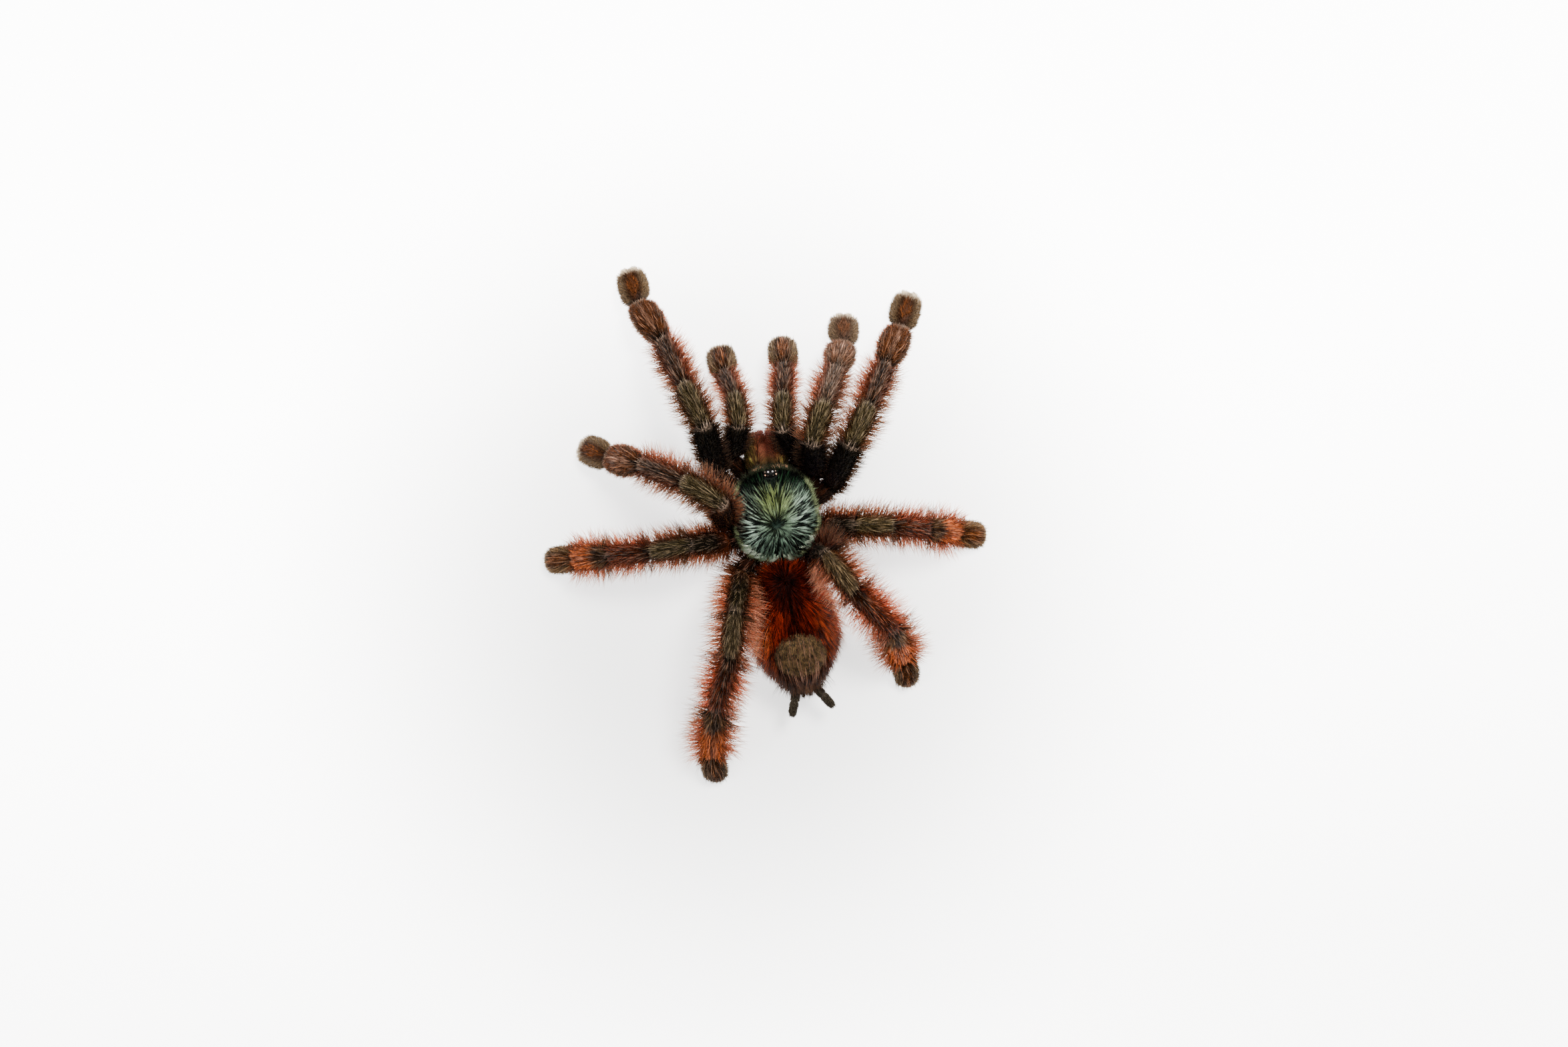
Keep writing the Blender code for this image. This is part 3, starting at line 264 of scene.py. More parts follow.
def limb_colour(limb, s, angle):
    """Colour of a limb: each segment's own brown, olive or red in lengthwise streaks, dark in the folds
    and with a pale edge before them, bare stripes on the shins, a line down the feet and a cream rim.
    Painted sheen and highlight: olive on the backs of the thighs and pale olive streaks on the backs of
    the knees. The hind legs are redder, and the right ones, on the lamp's side, are paler from the knee on
    as painted light; the first right leg is a little paler from the shin on."""
    i, t, _ = limb_place(limb, s)
    k = limb["kinds"][i]
    hind = 0.0 if limb["front"] else 1.0
    fourth = 1.0 if limb["kind"] == "leg4" else 0.0
    turn = np.abs((angle + np.pi) % (2 * np.pi) - np.pi)
    back = np.clip(np.cos(turn), 0.0, 1.0)
    flank = ease(np.sin(turn), 0.45, 0.95)
    inner = (np.sin(angle) < 0.0) * 1.0
    streak = STREAKS[k, ((angle / (2 * np.pi)) * 72).astype(int) % 72]
    strong = ease(streak, 0.35, 0.75)
    pair = np.exp(-(((turn - 0.42) / 0.07) ** 2))
    coxa = mix(BLACK_BROWN, RUST, 0.04 + (0.1 + 0.2 * hind) * strong)
    # Painted sheen: olive on the backs of the thighs, faint on most legs and strong on the last left one.
    green = 0.55 if limb["name"] == "leg4_left" else 0.05 + 0.12 * hind
    femur = paint(
        BLACK_BROWN * (0.5 + 0.4 * hind),
        (OLIVE, green * (0.2 + 0.8 * strong) * back),
        (RUST, (1.0 - ease(t, 0.1, 0.55)) * (0.04 + 0.6 * hind) * (1.0 - 0.5 * fourth) + 0.35 * flank * hind),
        (BROWN, (0.15 + 0.6 * strong) * (limb["name"] == "leg2_left")))
    # Painted highlight: pale olive streaks along the backs of the knees; the pair of pale stripes there is the leg's
    # own marking.
    patella = paint(
        mix(BLACK_BROWN, OLIVE, 0.45 + 0.5 * strong),
        (OLIVE_PALE, (0.22 * ease(streak, 0.6, 1.0) + 0.15 * pair) * back),
        (GREY_BROWN, 0.3 * fourth * back))
    patella = mix(patella * (1.0 - 0.2 * hind), RUST, flank * (0.25 + 0.25 * hind))
    tibia = paint(
        mix(BROWN, BLACK_BROWN, 0.9 - 0.65 * strong),
        (MAUVE, 0.25 * pair * (1.0 - hind)),
        (RED, hind * 0.3 * strong * ease(t, 0.1, 0.4)))
    tibia = mix(tibia * (1.0 - 0.25 * hind), mix(RUST, RED, 0.4 * inner),
                flank * (0.6 + 0.2 * inner) * (1.0 - 0.45 * ease(t, 0.5, 0.95)))
    line = np.exp(-((turn / 0.09) ** 2)) * ease(t, 0.1, 0.3) * (1.0 - ease(t, 0.8, 0.95))
    patch = ease(turn, 0.15, 0.3) * (1.0 - ease(turn, 0.6, 0.9))
    front_foot = paint(
        mix(BROWN, BLACK_BROWN, 0.45 - 0.28 * strong),
        (ORANGE, 0.14 * patch + 0.1 * strong * back),
        (GREY_BROWN, 0.35 * ease(np.sin(turn), 0.7, 1.0)),
        (BLACK_BROWN, 0.6 * (1.0 - ease(t, 0.0, 0.25))),
        (srgb(190, 136, 106), 0.6 * line))
    hind_foot = paint(
        srgb(36, 26, 18),
        (GREY_BROWN, 0.35 * strong),
        (mix(RED, ORANGE, 0.8), ease(t, 0.25, 0.5) * (0.3 + 0.65 * strong)))
    oval = (1.0 - ease(turn / 0.45 + np.abs(t - 0.45) / 0.42, 0.75, 1.1)) * (1.0 - 0.35 * hind)
    tarsus = paint(
        mix(BROWN, BLACK_BROWN, 0.45 - 0.3 * strong),
        (srgb(116, 94, 68), ease(np.sin(turn), 0.35, 0.8) * (1.0 - 0.5 * hind)),
        (ORANGE, oval * (0.2 + 0.35 * strong)),
        (CREAM, ease(t, 0.8, 0.9) * (1.0 - 0.75 * hind) * (0.6 + 0.4 * ease(turn, 0.1, 0.4))))
    colour = np.choose(k[:, None], [np.broadcast_to(c, (len(s), 3)) for c in
                                    (coxa, femur, patella, tibia, mix(front_foot, hind_foot, hind), tarsus)])
    # Painted light: from the knee on, the right hind legs, on the lamp's side, are made paler and warmer.
    if hind:
        lamp_side = (k >= PATELLA) & (limb["side"] > 0)
        colour = colour * HIND_TONE[limb["kind"]][k] * np.where(lamp_side[:, None], LAMP_SIDE_TONE, 1.0)
    pale = ease(t, 0.93, 0.96) * (k >= FEMUR) * (k <= METATARSUS) * (0.1 + 0.45 * back) * (1.0 - 0.6 * hind)
    fold = 1.0 - 0.8 * (1.0 - ease(t, 0.02, 0.09)) * (k >= FEMUR)
    # The first right leg, from the shin on, is mixed a tenth towards pale pink.
    first_right_paler = 0.1 * (limb["name"] == "leg1_right") * (k >= TIBIA)
    return mix(mix(colour, PINK_PALE, pale) * fold[:, None], PINK_PALE, first_right_paler)


def tube_faces(points, rings, sides):
    """Triangles of a closed tube of rings times sides points, its two end points coming last, turned
    so that its volume, the sum of a . (b x c) / 6, is positive."""
    ring, k = np.meshgrid(np.arange(rings - 1), np.arange(sides), indexing="ij")
    a = ring * sides + k
    b = ring * sides + (k + 1) % sides
    quads = np.stack((a, b, b + sides, a, b + sides, a + sides), -1).reshape(-1, 3)
    k = np.arange(sides)
    first = np.stack((np.full(sides, rings * sides), (k + 1) % sides, k), -1)
    last = (rings - 1) * sides
    second = np.stack((np.full(sides, rings * sides + 1), last + k, last + (k + 1) % sides), -1)
    faces = np.concatenate((quads, first, second))
    a, b, c = (points[faces[:, k]] - points.mean(0) for k in range(3))
    return faces if np.einsum("ij,ij->i", a, np.cross(b, c)).sum() > 0.0 else faces[:, ::-1]


def closed_tube(surface, stations, sides, ends=None):
    """Points, triangles and unwrap of a tube: a ring on the surface at each station, and an end point
    in the middle of its first and of its last ring."""
    share, angle = grid(stations, sides)
    points = surface(share, angle)
    points = np.concatenate((points, (points[:sides].mean(0), points[-sides:].mean(0)) if ends is None else ends))
    uv = np.stack((np.append(angle, (0, 0)) / (2 * np.pi), np.append(share, (0, 1))), -1)
    return points, tube_faces(points, len(stations), sides), uv


def join_parts(parts):
    """One set of points, triangles, colours and UVs out of several."""
    offset, points, faces, colours, uvs = 0, [], [], [], []
    for p, f, c, uv in parts:
        points.append(p)
        faces.append(f + offset)
        colours.append(c)
        uvs.append(uv)
        offset += len(p)
    return np.concatenate(points), np.concatenate(faces), np.concatenate(colours), np.concatenate(uvs)


def make_object(name, parts, material, uv_name="OFBake"):
    """Object from points in millimetres from the fovea, triangles, point colours and point UVs."""
    points, faces, colours, uvs = join_parts(parts)
    data = bpy.data.meshes.new(name)
    data.vertices.add(len(points))
    data.vertices.foreach_set("co", ((points - STANCE) * MM).astype(np.float32).ravel())
    data.loops.add(faces.size)
    data.loops.foreach_set("vertex_index", faces.astype(np.int32).ravel())
    data.polygons.add(len(faces))
    data.polygons.foreach_set("loop_start", np.arange(0, faces.size, 3, dtype=np.int32))
    data.polygons.foreach_set("loop_total", np.full(len(faces), 3, np.int32))
    data.update(calc_edges=True)
    tint = data.color_attributes.new("Tint", "FLOAT_COLOR", "POINT")
    rgba = np.concatenate((np.clip(colours, 0.0, 1.0), np.ones((len(colours), 1))), 1)
    tint.data.foreach_set("color", rgba.astype(np.float32).ravel())
    layer = data.uv_layers.new(name=uv_name)
    layer.data.foreach_set("uv", uvs[faces].astype(np.float32).ravel())
    data.polygons.foreach_set("use_smooth", np.ones(len(faces), bool))
    data.materials.append(material)
    thing = bpy.data.objects.new(name, data)
    bpy.context.scene.collection.objects.link(thing)
    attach(thing, "root")
    return thing


FLOOR_LIFT = 0.02
LIMB_SIDES = 20


def limb_skin(limb):
    """Tube of 20 sides with a ring every 0.7 mm, and every 0.1 mm round the tip of the foot."""
    end = limb["end"]
    stations = np.concatenate((np.arange(0.2, end - 0.7, 0.7), np.linspace(end - 0.6, end, 7)))
    s, angle = grid(stations, LIMB_SIDES)
    points = np.concatenate((limb_surface(limb, s, angle)[0], limb_rings(limb, stations[[0, -1]])[0]))
    points[:, 2] = np.maximum(points[:, 2], FLOOR_LIFT)
    s, angle = np.append(s, stations[[0, -1]]), np.append(angle, (0.0, 0.0))
    uv = np.stack((angle / (2 * np.pi), s / end), -1)
    return points, tube_faces(points, len(stations), LIMB_SIDES), limb_colour(limb, s, angle) * 0.35, uv


LIMBS = [make_limb(name) for name in POSE]
skin_parts = [limb_skin(limb) for limb in LIMBS]

# Carapace, sternum and eye mound, skin. A domed shield of hard cuticle, highest between the fovea
# and the eyes, over a rounded plate from whose edge the legs spring.
CARAPACE_CENTRE_Y = 2.3
CARAPACE_HALF_LENGTH = 8.5
CARAPACE_HALF_WIDTH = 7.7
CARAPACE_SQUARENESS = 2.4
CARAPACE_UNDERSIDE = 6.9
CARAPACE_RIM = 7.5
CARAPACE_DOME = 3.3
HEAD_FRONT_Y = 10.7
HEAD_FRONT_RISE = 2.5
HEAD_HUMP = 1.3
HEAD_HUMP_CENTRE_Y = 5.6
STERNUM_MIDDLE = np.array((0.0, 0.6, 4.5))
STERNUM_HALF_SIZE = np.array((3.5, 4.6, 2.3))
EYE_MOUND_Y = 9.7
EYE_MOUND_SIZE = np.array((1.35, 1.0, 1.25))
CARAPACE_SIDES = 72


def carapace_point(angle, share):
    """Point on the shield at an angle from straight ahead and a share of the way from fovea to rim.
    The rim is a superellipse of power 2.4 cut off by the face; the height is rim + dome (1 - share^2.3)
    + a hump over the head - the pit + six shallow grooves."""
    power = 2.0 / CARAPACE_SQUARENESS
    sine, cosine = np.sin(angle), np.cos(angle)
    x = CARAPACE_HALF_WIDTH * np.sign(sine) * np.abs(sine) ** power
    y = CARAPACE_CENTRE_Y + CARAPACE_HALF_LENGTH * np.sign(cosine) * np.abs(cosine) ** power
    x, y = x * share, np.minimum(y, HEAD_FRONT_Y) * share
    front = ease(cosine, 0.6, 0.95) * (y > 0.0)
    rim = CARAPACE_RIM + HEAD_FRONT_RISE * front
    dome = (CARAPACE_DOME - 0.75 * HEAD_FRONT_RISE * front) * (1.0 - share**2.3)
    hump = HEAD_HUMP * np.exp(-((x / 3.3) ** 2) - ((y - HEAD_HUMP_CENTRE_Y) / 3.8) ** 2)
    pit = 0.6 * np.exp(-(x * x + y * y) / 0.7)
    grooves = 0.22 * np.cos(6.0 * angle + np.pi) * np.sin(np.pi * np.minimum(share, 1.0))
    return np.stack((x, y, rim + dome + hump - pit + grooves), -1)


def carapace_colour(points):
    """Near-black green, blacker in front."""
    dark = ease(points[:, 1], 6.0, 9.5)
    return mix(srgb(26, 38, 30), srgb(10, 13, 11), dark)


def flat_uv(points):
    """The plan view of a low dome as its unwrap: x and y over 20 mm."""
    return points[:, :2] / 20.0 + 0.5


def carapace_skin():
    """Rings of 72 points from the fovea to the rim, then under it to a flat underside."""
    shares = np.concatenate((np.linspace(0.04, 0.97, 22), (0.995,)))
    share, angle = grid(shares, CARAPACE_SIDES)
    top = carapace_point(angle, share) - (0.0, 0.0, SKIN_INSET)
    rim = top[-CARAPACE_SIDES:].copy()
    rim[:, 2] = CARAPACE_UNDERSIDE + 0.15
    middle = carapace_point(np.zeros(1), np.zeros(1)) - (0.0, 0.0, SKIN_INSET)
    points = np.concatenate((top, rim, middle, rim[:1] * (0, 0, 1)))
    faces = tube_faces(points, len(shares) + 1, CARAPACE_SIDES)
    return points, faces, carapace_colour(points), flat_uv(points)


def ellipsoid(middle, sizes, colour, rings=12, sides=20, droop=0.0):
    """Latitude and longitude points of an ellipsoid, closed at its poles."""
    latitude, longitude = grid(np.linspace(0.12, np.pi - 0.12, rings), sides)
    shape = np.stack((np.sin(latitude) * np.cos(longitude), np.sin(latitude) * np.sin(longitude), np.cos(latitude)), -1)
    shape = np.concatenate((shape, ((0, 0, 1), (0, 0, -1))))
    points = np.asarray(middle) + shape * sizes
    points[:, 2] += droop * shape[:, 1]
    uv = unwrap(np.arctan2(shape[:, 1], shape[:, 0]), shape[:, 2] / 2 + 0.5)
    return points, tube_faces(points, rings, sides), np.broadcast_to(colour, (len(points), 3)), uv


mound_base = carapace_point(np.zeros(1), np.array((EYE_MOUND_Y / HEAD_FRONT_Y,)))[0, 2] - 0.45
EYE_MOUND = np.array((0.0, EYE_MOUND_Y, mound_base))
skin_parts.append(carapace_skin())
skin_parts.append(ellipsoid(EYE_MOUND, EYE_MOUND_SIZE - 0.02, srgb(12, 11, 10)))
skin_parts.append(ellipsoid(STERNUM_MIDDLE, STERNUM_HALF_SIZE, srgb(34, 26, 20)))

# Chelicerae, skin. A pair of stout bulging jaws side by side in front of the face, held to it by dark
# soft skin, their fangs folded back underneath.
CHELICERA_OFFSET = 2.05
CHELICERA_PAIR_X = -0.25
CHELICERA_LENGTH = 6.1
CHELICERA_HALF_SIZE = (1.88, 2.4)
CHELICERA_DROOP = math.radians(19)
CHELICERA_ROOT_Z = 7.1
CHELICERA_SHAPE = np.array(
    ((-0.05, 0.7, 0.7), (0.0, 0.88, 0.86), (0.2, 1.0, 1.0), (0.55, 1.0, 1.02), (0.82, 0.88, 0.86),
     (0.95, 0.62, 0.58), (1.01, 0.3, 0.28), (1.03, 0.05, 0.05))
)


def chelicera_axis(side, reach):
    """Point of a jaw's drooping axis at a length from its root."""
    return np.stack((np.full_like(reach, CHELICERA_PAIR_X + side * CHELICERA_OFFSET), HEAD_FRONT_Y + 0.3 + reach,
                     CHELICERA_ROOT_Z - math.tan(CHELICERA_DROOP) * reach), -1)


def chelicera_surface(side, share, angle):
    """Point and normal on a jaw: its axis with the half sizes eased between their stations."""
    stations, widths, heights = CHELICERA_SHAPE.T
    wide, tall = (np.maximum(np.interp(share, stations, sizes) * half - SKIN_INSET, 0.03)
                  for sizes, half in zip((widths, heights), CHELICERA_HALF_SIZE))
    off = np.stack((wide * np.sin(angle), np.zeros_like(wide), tall * np.cos(angle)), -1)
    slope = (np.interp(share + 0.02, stations, widths) - np.interp(share - 0.02, stations, widths)) / 0.04
    normal = unit(np.stack((tall * np.sin(angle), -slope * wide * 0.35, wide * np.cos(angle)), -1))
    return chelicera_axis(side, share * CHELICERA_LENGTH) + off, normal


def chelicera_colour(points):
    """Rust along the middle and front, olive along the outer sides, blacker underneath."""
    off = np.abs(points[:, 0] - CHELICERA_PAIR_X)
    right = 0.5 * (points[:, 0] > CHELICERA_PAIR_X) * ease(points[:, 1], 11.5, 13.5) * (1.0 - ease(off, 2.8, 3.4))
    return paint(
        srgb(80, 60, 34),
        (srgb(146, 74, 52), (1.0 - ease(off, 0.8, 2.6)) * ease(points[:, 1], 10.8, 14.0)),
        (srgb(124, 62, 44), right),
        (BLACK_BROWN, ease(off, 3.2, 3.9) * 0.7))


skin_parts.append(ellipsoid((CHELICERA_PAIR_X, 10.9, 7.0), (3.0, 0.9, 1.9), srgb(20, 14, 10)))
for side in (-1, 1):
    stations = np.concatenate((np.linspace(-0.05, 0.95, 20), (0.98, 1.01, 1.03)))
    points, faces, uv = closed_tube(lambda share, angle: chelicera_surface(side, share, angle)[0], stations, 20)
    skin_parts.append((points, faces, chelicera_colour(points) * 0.45, uv))

# Abdomen and pedicel, skin. A soft egg-shaped sac, a little to the animal's right, on a thin stalk;
# its rear third carries the oval patch of short velvet.
ABDOMEN_FRONT_Y = -7.4
ABDOMEN_LENGTH = 22.9
ABDOMEN_HALF_WIDTH = 6.7
ABDOMEN_HALF_HEIGHT = 5.9
ABDOMEN_MIDDLE_Z = 8.5
ABDOMEN_TURN = math.radians(3.6)
PATCH_CENTRE = np.array((1.3, -24.3))
PATCH_HALF_SIZE = np.array((5.0, 4.2))


def abdomen_rings(share):
    """Middle, axes and half sizes: half width = 6.7 sin(pi (0.03 + 0.95 share)^1.1)^(0.48 + 0.16 share),
    on an axis that leaves the stalk low, with height 8.5 - 2.7 (1 - share)^3 - 1.9 share^3."""
    share = np.clip(share, 0.0, 1.0)
    reach = share * ABDOMEN_LENGTH
    middle = np.stack((reach * math.sin(ABDOMEN_TURN), ABDOMEN_FRONT_Y - reach * math.cos(ABDOMEN_TURN),
                       ABDOMEN_MIDDLE_Z - 2.7 * (1.0 - share) ** 3 - 1.9 * share**3), -1)
    swell = np.sin(np.pi * (0.03 + 0.95 * share) ** 1.1) ** (0.48 + 0.16 * share)
    across = np.array((math.cos(ABDOMEN_TURN), math.sin(ABDOMEN_TURN), 0.0))
    return middle, across, swell * ABDOMEN_HALF_WIDTH - SKIN_INSET, swell * ABDOMEN_HALF_HEIGHT - SKIN_INSET


def abdomen_point(share, angle):
    """Point at an angle round the ring, 0 on its back and 90 to the animal's right."""
    middle, across, wide, tall = abdomen_rings(share)
    sine, cosine = np.sin(angle)[:, None], np.cos(angle)[:, None]
    return middle + across * wide[:, None] * sine + np.array((0.0, 0.0, 1.0)) * tall[:, None] * cosine


def abdomen_surface(share, angle):
    """Point, outward normal and backward tangent, by small steps along and round."""
    point = abdomen_point(share, angle)
    backward = unit(abdomen_point(share + 0.01, angle) - abdomen_point(share - 0.01, angle))
    around = unit(abdomen_point(share, angle + 0.02) - abdomen_point(share, angle - 0.02))
    normal = unit(np.cross(around, backward))
    outside = (normal * (point - abdomen_rings(share)[0])).sum(1, keepdims=True) > 0.0
    return point, np.where(outside, normal, -normal), backward


def patch_share(points):
    """1 inside the velvet oval on the abdomen's back, 0 outside, by its ellipse in plan."""
    away = np.linalg.norm((points[:, :2] - PATCH_CENTRE) / PATCH_HALF_SIZE, axis=1)
    return (1.0 - ease(away, 0.94, 1.0)) * (points[:, 2] > 7.5)


def abdomen_colour(points):
    """Black-red at the front of the back and down its middle, then deep red, orange-red down the sides
    and pink below, with brown at the rear."""
    middle_x = (ABDOMEN_FRONT_Y - points[:, 1]) * math.tan(ABDOMEN_TURN)
    off = np.abs(points[:, 0] - middle_x)
    along = (ABDOMEN_FRONT_Y - points[:, 1]) / ABDOMEN_LENGTH
    dark = np.exp(-((off / 2.1) ** 2) - ((along - 0.16) / 0.13) ** 2)
    streak = np.exp(-((off / 1.7) ** 2)) * ease(along, 0.1, 0.3) * (1.0 - ease(along, 0.5, 0.75))
    return paint(
        srgb(136, 38, 14),
        (srgb(176, 78, 40), ease(off, 2.6, 6.3)),
        (srgb(30, 5, 2), np.clip(1.2 * dark + 0.66 * streak, 0.0, 0.94)),
        (srgb(80, 52, 34), ease(along, 0.68, 0.9) * 0.9),
        (srgb(110, 58, 38), 1.0 - ease(points[:, 2], 3.0, 6.5)))


stations = np.concatenate((np.linspace(0.0, 0.9, 28), np.linspace(0.92, 1.0, 6)))
ends = abdomen_rings(stations[[0, -1]])[0] - ((0.0, 0.0, 0.0), (0.0, 0.25, 0.0))
points, faces, uv = closed_tube(abdomen_point, stations, 40, ends)
colour = mix(abdomen_colour(points) * 0.35, srgb(70, 64, 48), patch_share(points))
skin_parts.append((points, faces, colour, uv))
skin_parts.append(ellipsoid((0.0, -5.8, 5.2), (1.0, 2.6, 1.0), srgb(40, 22, 16), droop=0.3))


def make_material(name):
    """New material and its main shader."""
    material = bpy.data.materials.new(name)
    material.use_nodes = True
    return material, material.node_tree.nodes["Principled BSDF"]


def fill(material, node, inputs):
    """Each named input of a node, linked from the output that is given for it or set to the value."""
    for name, value in inputs.items():
        if isinstance(value, bpy.types.NodeSocket):
            material.node_tree.links.new(value, node.inputs[name])
        else:
            node.inputs[name].default_value = value
    return node


def add_node(material, kind, inputs, **settings):
    """Node of a kind in a material, with its settings and inputs."""
    node = material.node_tree.nodes.new("ShaderNode" + kind)
    for name, value in settings.items():
        setattr(node, name, value)
    return fill(material, node, inputs)


def object_noise(material, scale, detail):
    """Soft noise in object space."""
    where = add_node(material, "TexCoord", {})
    return add_node(material, "TexNoise", {"Vector": where.outputs["Object"], "Scale": scale, "Detail": detail})


def coat_material(name, roughness, grain, **others):
    """Cuticle or bristle: the Tint attribute times 0.72 to 1.28 by a fine noise, which is its bump too."""
    material, shader = make_material(name)
    noise = object_noise(material, grain, 3.0).outputs["Fac"]
    spread = add_node(material, "MapRange", {"Value": noise, "To Min": 0.72, "To Max": 1.28})
    tint = add_node(material, "Attribute", {}, attribute_name="Tint")
    vary = add_node(material, "Mix", {"Factor": 1.0, "A": tint.outputs["Color"], "B": spread.outputs["Result"]},
                    data_type="RGBA", blend_type="MULTIPLY")
    bump = add_node(material, "Bump", {"Strength": 0.35, "Distance": 0.0001, "Height": noise})
    fill(material, shader, {"Base Color": vary.outputs["Result"], "Normal": bump.outputs["Normal"],
                            "Roughness": roughness, "Specular IOR Level": 0.06})
    for socket, value in others.items():
        shader.inputs[socket.replace("_", " ")].default_value = value
    return material


skin = make_object("skin", skin_parts, coat_material("cuticle", 0.5, 2500.0), "SkinMap")
flesh = ["carapace", "sternum", "pedicel", "abdomen", "chelicera_left", "chelicera_right"]
for limb in LIMBS:
    last = "tarsus" if limb["kind"] == "palp" else "metatarsus_tarsus"
    flesh += [f"{limb['name']}_{part}" for part in ("coxa", "femur", "patella_tibia", last)]
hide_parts(*flesh)

# Legs and feelers, coat. Velvet of short bristles that lies along the limb and fans out on the feet,
# longer ones combed along the backs, a pale brush round the soles, and a fringe of long fine bristles
# that stands out from the sides and lets the light through, rust at the root and pale at the tip.
HAIR_CORNERS = np.radians((90.0, 210.0, 330.0))
BAKE_PATCH = 0.003


def hairs(root, normal, lie, rise, sweep, width, colour, tip_colour, uv, bends, pull=None):
    """Three-sided tapering bristles: root + normal rise (1.3 t - 0.3 t|t|) + lie sweep (0.55 t + 0.45 t|t|)
    + pull t^2, for t from a little below the skin to 1, as thick as width (1 - t)^0.6, and coloured
    towards the tip's by t^1.5."""
    stations = (-0.12, 0.5, 1.0) if bends else (-0.12, 1.0)
    across = unit(np.cross(normal, lie))
    rise, sweep, width = (np.broadcast_to(v, len(root))[:, None] for v in (rise, sweep, width))
    pull = np.zeros_like(root) if pull is None else pull
    rings, colours, patches = [], [], []
    for t in stations:
        middle = root + normal * rise * (1.3 * t - 0.3 * t * abs(t)) + lie * sweep * (0.55 * t + 0.45 * t * abs(t))
        middle = middle + pull * t * abs(t)
        ahead = normal * rise * (1.3 - 0.6 * abs(t)) + lie * sweep * (0.55 + 0.9 * abs(t)) + pull * 2 * abs(t)
        over = unit(np.cross(across, ahead))
        radius = 0.5 * width * (1.0 - max(t, 0.0)) ** 0.6
        corners = HAIR_CORNERS if t < 1.0 else HAIR_CORNERS[:1]
        for corner in corners:
            rings.append(middle + across * radius * math.cos(corner) + over * radius * math.sin(corner))
            colours.append(mix(colour, tip_colour, max(t, 0.0) ** 1.5))
            patches.append(uv + BAKE_PATCH * np.array((0.5 * math.cos(corner), max(t, 0.0))))
    count = len(rings)
    points, colours, patches = (np.stack(rows, 1).reshape(-1, rows[0].shape[1]) for rows in (rings, colours, patches))
    points[:, 2] = np.maximum(points[:, 2], FLOOR_LIFT)
    one = [(0, 2, 1)]
    for ring in range(len(stations) - 2):
        for k in range(3):
            a, b = 3 * ring + k, 3 * ring + (k + 1) % 3
            one += [(a, b, b + 3), (a, b + 3, a + 3)]
    last = 3 * (len(stations) - 2)
    one += [(last + k, last + (k + 1) % 3, count - 1) for k in range(3)]
    faces = (np.array(one)[None] + count * np.arange(len(root))[:, None, None]).reshape(-1, 3)
    a, b, c = (points[faces[:, k]] for k in range(3))
    inward = np.einsum("ij,ij->i", a - root[0], np.cross(b - root[0], c - root[0])).sum() < 0.0
    return points, faces[:, ::-1] if inward else faces, colours, patches


def chosen(keep, *rows):
    """The places of each row where keep is true."""
    return [row[keep] for row in rows]


VELVET_PER_MM = 220
COMBED_PER_MM = 16
BRISTLES_PER_MM = 88
TOP_OF_COAT = 22.2
LOWEST_TIP = 0.3
FRONT_FRINGE_SHARE = (0.45, 0.7, 1.0, 1.0, 0.3, 0.4)
HIND_FRINGE_SHARE = (1.0, 1.0, 1.0, 1.0, 1.0, 0.4)
BRISTLE_LENGTH = {"leg1": 4.3, "leg2": 4.7, "leg3": 4.7, "leg4": 5.7, "palp": 3.6}


def limb_velvet(limb, dice):
    """Short bristles all over a limb, along it on the shafts and turned outwards on the brushed feet."""
    count = int(VELVET_PER_MM * limb["end"])
    s = dice.uniform(0.6, limb["end"] - 0.02, count)
    s = np.concatenate((s, limb["end"] - TIP_ROUNDING * dice.random(count // 30)))
    count = len(s)
    angle = dice.uniform(-np.pi, np.pi, count)
    point, normal, forward, sideways = limb_surface(limb, s, angle)
    i, t, _ = limb_place(limb, s)
    k = limb["kinds"][i]
    foot = (k == TARSUS) | ((k == METATARSUS) & limb["front"])
    fan = np.where(foot, 0.9 * np.sin(angle), 0.2 * np.sin(angle)) + dice.normal(0.0, 0.16, count)
    lie = unit(forward + sideways * fan[:, None])
    near_tip = ease(t, 0.92, 1.0) * (k == TARSUS)
    rise = dice.uniform(0.28, 0.5, count) * (1.0 + 0.35 * foot * np.abs(np.sin(angle))) * (1.0 - 0.4 * near_tip)
    edge = ease(t, 0.9, 0.94) * ~foot
    sweep = dice.uniform(0.7, 1.2, count) * np.where(foot, 0.75, 1.0) * (1.0 - 0.5 * near_tip) * (1.0 - 0.6 * edge)
    colour = limb_colour(limb, s, angle) * dice.uniform(0.55, 1.3, (count, 1))
    return hairs(point, normal, lie, rise, sweep, 0.12, colour * 0.6, colour * 1.25,
                 unwrap(angle, s / limb["end"]), False)


def limb_combed(limb, dice):
    """Longer flat bristles combed along the backs of the shafts, some dark and some pale."""
    stop = limb["starts"][-3 if limb["kind"] in ("leg1", "leg2") else -2] + 0.8 * limb["lengths"][-1]
    count = int(COMBED_PER_MM * stop)
    s, angle = dice.uniform(3.0, stop, count), dice.normal(0.0, 0.7, count)
    point, normal, forward, sideways = limb_surface(limb, s, angle)
    lie = unit(forward + sideways * (0.15 * np.sin(angle) + dice.normal(0.0, 0.1, count))[:, None])
    pale = dice.random(count) < 0.5
    i, _, _ = limb_place(limb, s)
    dull = limb["front"] & (limb["kinds"][i] <= FEMUR)
    colour = mix(limb_colour(limb, s, angle) * np.where(pale, 1.5, 0.3)[:, None], PINK_PALE, 0.12 * pale * ~dull)
    length = np.minimum(dice.uniform(1.3, 2.4, count), limb["end"] + 0.6 - s)
    return hairs(point, normal, lie, length * 0.14 + 0.2, length, 0.19, colour * 0.7, colour * 1.2,
                 unwrap(angle, s / limb["end"]), True)


